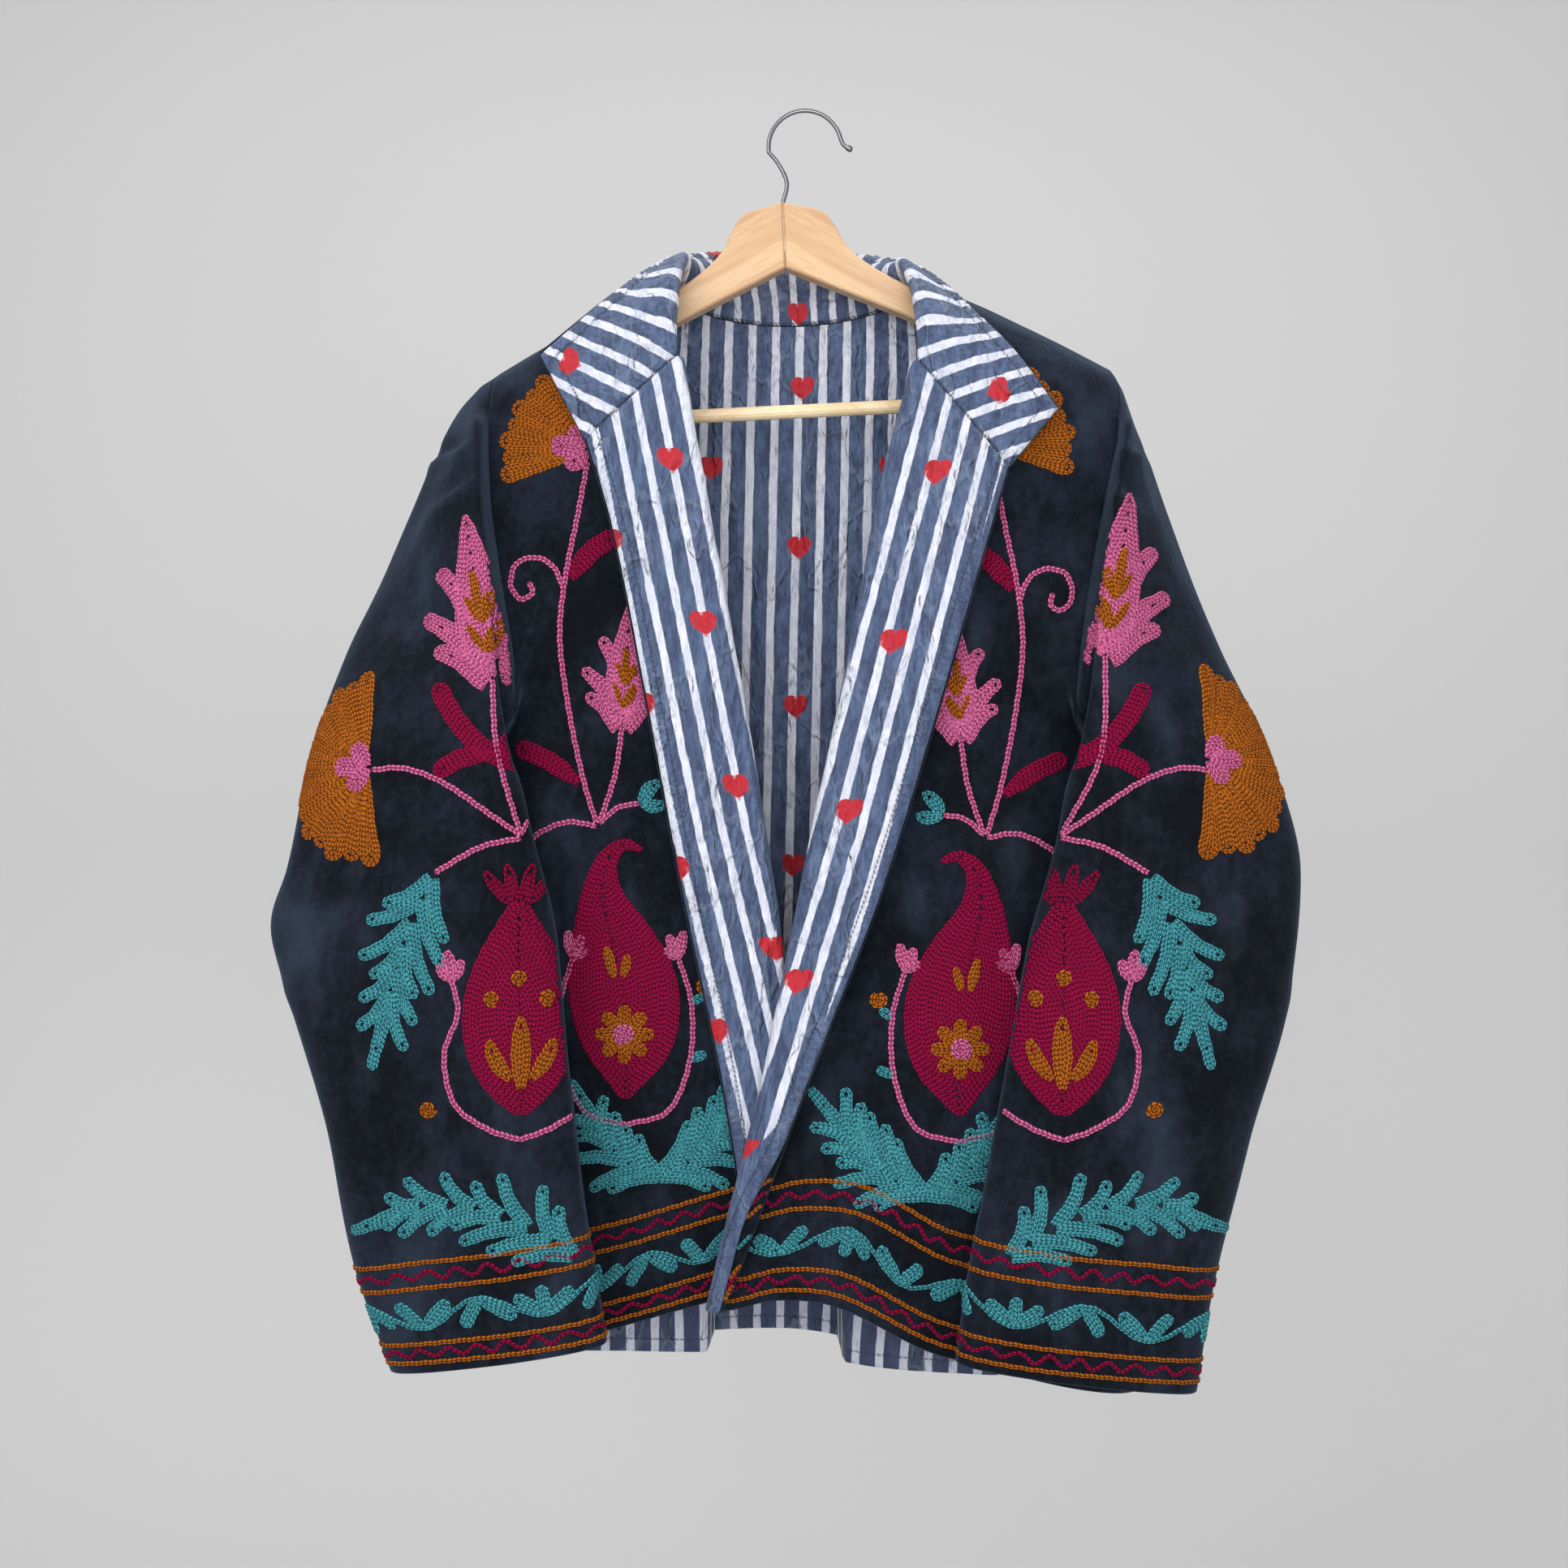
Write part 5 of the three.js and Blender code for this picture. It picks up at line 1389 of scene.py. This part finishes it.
def lapped_corner(stitches, panel, side):
    """What shows on the right front's lapel: the border on its inner face, and gold along its edge."""
    run = np.linspace(run_at(panel, 2.45), run_at(panel, 2.97), 7)
    for height, colour in BANDS + ((VINE_AT, "teal"),):
        line = np.stack([run, height * TALL + 0 * run], -1)
        stitches.lay(panel.along_hem(inner=True), [line], colour, 1.5, 0.9)
    edge = even(panel.level(0.8 * VELVET)[-1][(panel.vs > 0.2) & (panel.vs < 0.93)])
    stitches.strip(edge, np.tile((-side.dir, -0.2, 0), (len(edge), 1)), "gold", 1.1, 0.9)


# where each side's motifs stand, how far the front's are moved, and the border's phase and height
PLACES = {
    "left": Side(fan=(-134, -254), flower=(-197, -416), elbow=(-290, -95, -475), shift=(0, 0),
                 phase=0.6, tall=1.0),
    "right": Side(fan=(-128, -241), flower=(-207, -400), elbow=(296, -95, -470), shift=(10, -8),
                  phase=2.2, tall=TALL)}
for word, side in SIDES.items():
    at, panel = PLACES[word], panels[f"front_{word}"]
    stitches = Stitches(f"front_{word}_embroidery")
    work(stitches, panel.seen_from(), front_motifs(at.fan), side, at.shift)
    border(stitches, panel, 2, run_at(panel, 1.4), at.phase, at.tall)
    if side is RIGHT:
        lapped_corner(stitches, panel, side)
    stitches.finish()
    panel = panels[f"sleeve_{word}"]
    stitches = Stitches(f"sleeve_{word}_embroidery")
    work(stitches, panel.seen_from(), sleeve_motifs(at.flower), side, (10, 0))
    work(stitches, panel.seen_from(-30 * side.dir, at.elbow), elbow_motifs(), side)
    border(stitches, panel, 0, panel.hem_run[-1], 1.1, at.tall)
    stitches.finish()

stitches = Stitches("back_embroidery")
border(stitches, panels["back"], 4, panels["back"].hem_run[-1] - 4, 0.2)
stitches.finish()

panel = panels["collar"]
stitches = Stitches("collar_embroidery")
edge = even(panel.level(0.6 * VELVET)[(panel.us > 0.3) & (panel.us < 0.7), -1])
stitches.strip(edge, np.tile((0, -0.5, 1.0), (len(edge), 1)), "gold", 1.4, 1.1)
stitches.finish()


# ------------------------------------------------------------------ hanger
wood, wire = wood_look("pale_wood", rgb(210, 175, 134), rgb(187, 144, 102)), wire_look()
# the bar: paler wood than the arms, made paler still as a painted highlight of the light from above
rod = wood_look("rod_wood_lit", rgb(238, 219, 180), rgb(220, 190, 146))
for part, look in (("arm_left", wood), ("arm_right", wood), ("bar", rod), ("hook", wire)):
    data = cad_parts["hanger_" + part].data
    data.materials.clear()
    data.materials.append(look)

# ------------------------------------------------------------------ camera, floor and light
camera = bpy.data.objects.new("camera", bpy.data.cameras.new("camera"))
camera.data.lens, camera.data.sensor_width = 39.6, 36.0
camera.location = (-HOOK_APEX_X * 0.001, -1.25, -0.48647)
camera.rotation_euler = (math.pi / 2, 0, 0)
bpy.context.scene.collection.objects.link(camera)
bpy.context.scene.camera = camera

paper = Look("pale_paper", Roughness=1.0)
paper.colour(paper.blend(paper.noise(3.0), rgb(201, 201, 201), rgb(203, 203, 203)))
FLOOR_Z, WALL_Y, SWEEP = -1.5, 1.7, 0.9      # the paper's floor and wall, and the radius between them
FRONT_Y, TOP_Z, WIDE = -3.0, 2.5, 4
profile = [(FRONT_Y, FLOOR_Z), (WALL_Y - SWEEP, FLOOR_Z)]
profile += [(WALL_Y - SWEEP + SWEEP * math.sin(a), FLOOR_Z + SWEEP * (1 - math.cos(a)))
            for a in np.linspace(0.1, math.pi / 2, 14)]
profile += [(WALL_Y, TOP_Z)]
mesh = bpy.data.meshes.new("backdrop")
mesh.from_pydata([(x, y, z) for y, z in profile for x in (-WIDE, WIDE)], [],
                 [(2 * k, 2 * k + 1, 2 * k + 3, 2 * k + 2) for k in range(len(profile) - 1)])
mesh.materials.append(paper.material)
mesh.shade_smooth()
backdrop = bpy.data.objects.new("backdrop", mesh)
bpy.context.scene.collection.objects.link(backdrop)


def lamp(name, spot, aim, size, power):
    """A soft rectangular lamp that looks at a spot."""
    data = bpy.data.lights.new(name, "AREA")
    data.shape, data.energy = "RECTANGLE", power
    data.size, data.size_y = size
    obj = bpy.data.objects.new(name, data)
    obj.location = spot
    obj.rotation_euler = (Vector(aim) - Vector(spot)).to_track_quat("-Z", "Y").to_euler()
    bpy.context.scene.collection.objects.link(obj)


lamp("key", (-1.3, -1.9, 0.5), (0, 0, -0.5), (1.6, 1.6), 26)
lamp("fill", (1.7, -1.7, -0.3), (0, 0, -0.5), (1.8, 1.8), 8)
lamp("front", (0.1, -2.6, -0.2), (0, 0, -0.5), (1.6, 1.6), 30)
lamp("top", (0, 0.1, 1.3), (0, 0, -0.3), (2.6, 1.6), 20)
view = bpy.context.scene.view_settings
view.view_transform, view.look, view.exposure = "Standard", "None", 0.0
world = bpy.data.worlds.new("studio")
world.use_nodes = True
sky = world.node_tree.nodes["Background"].inputs
sky["Color"].default_value, sky["Strength"].default_value = (1, 1, 1, 1), 0.62
bpy.context.scene.world = world

# ------------------------------------------------------------------ each sheet's widths, lengths and area, worked out
for obj, panel in sheets:
    across, down = panel.lengths(0)[-1], panel.lengths(1)[:, -1]
    if panel.wrap:  # a sleeve's head is a curved edge, longer than its cloth is wide
        across = across[len(across) // 3:]
    panel.area()
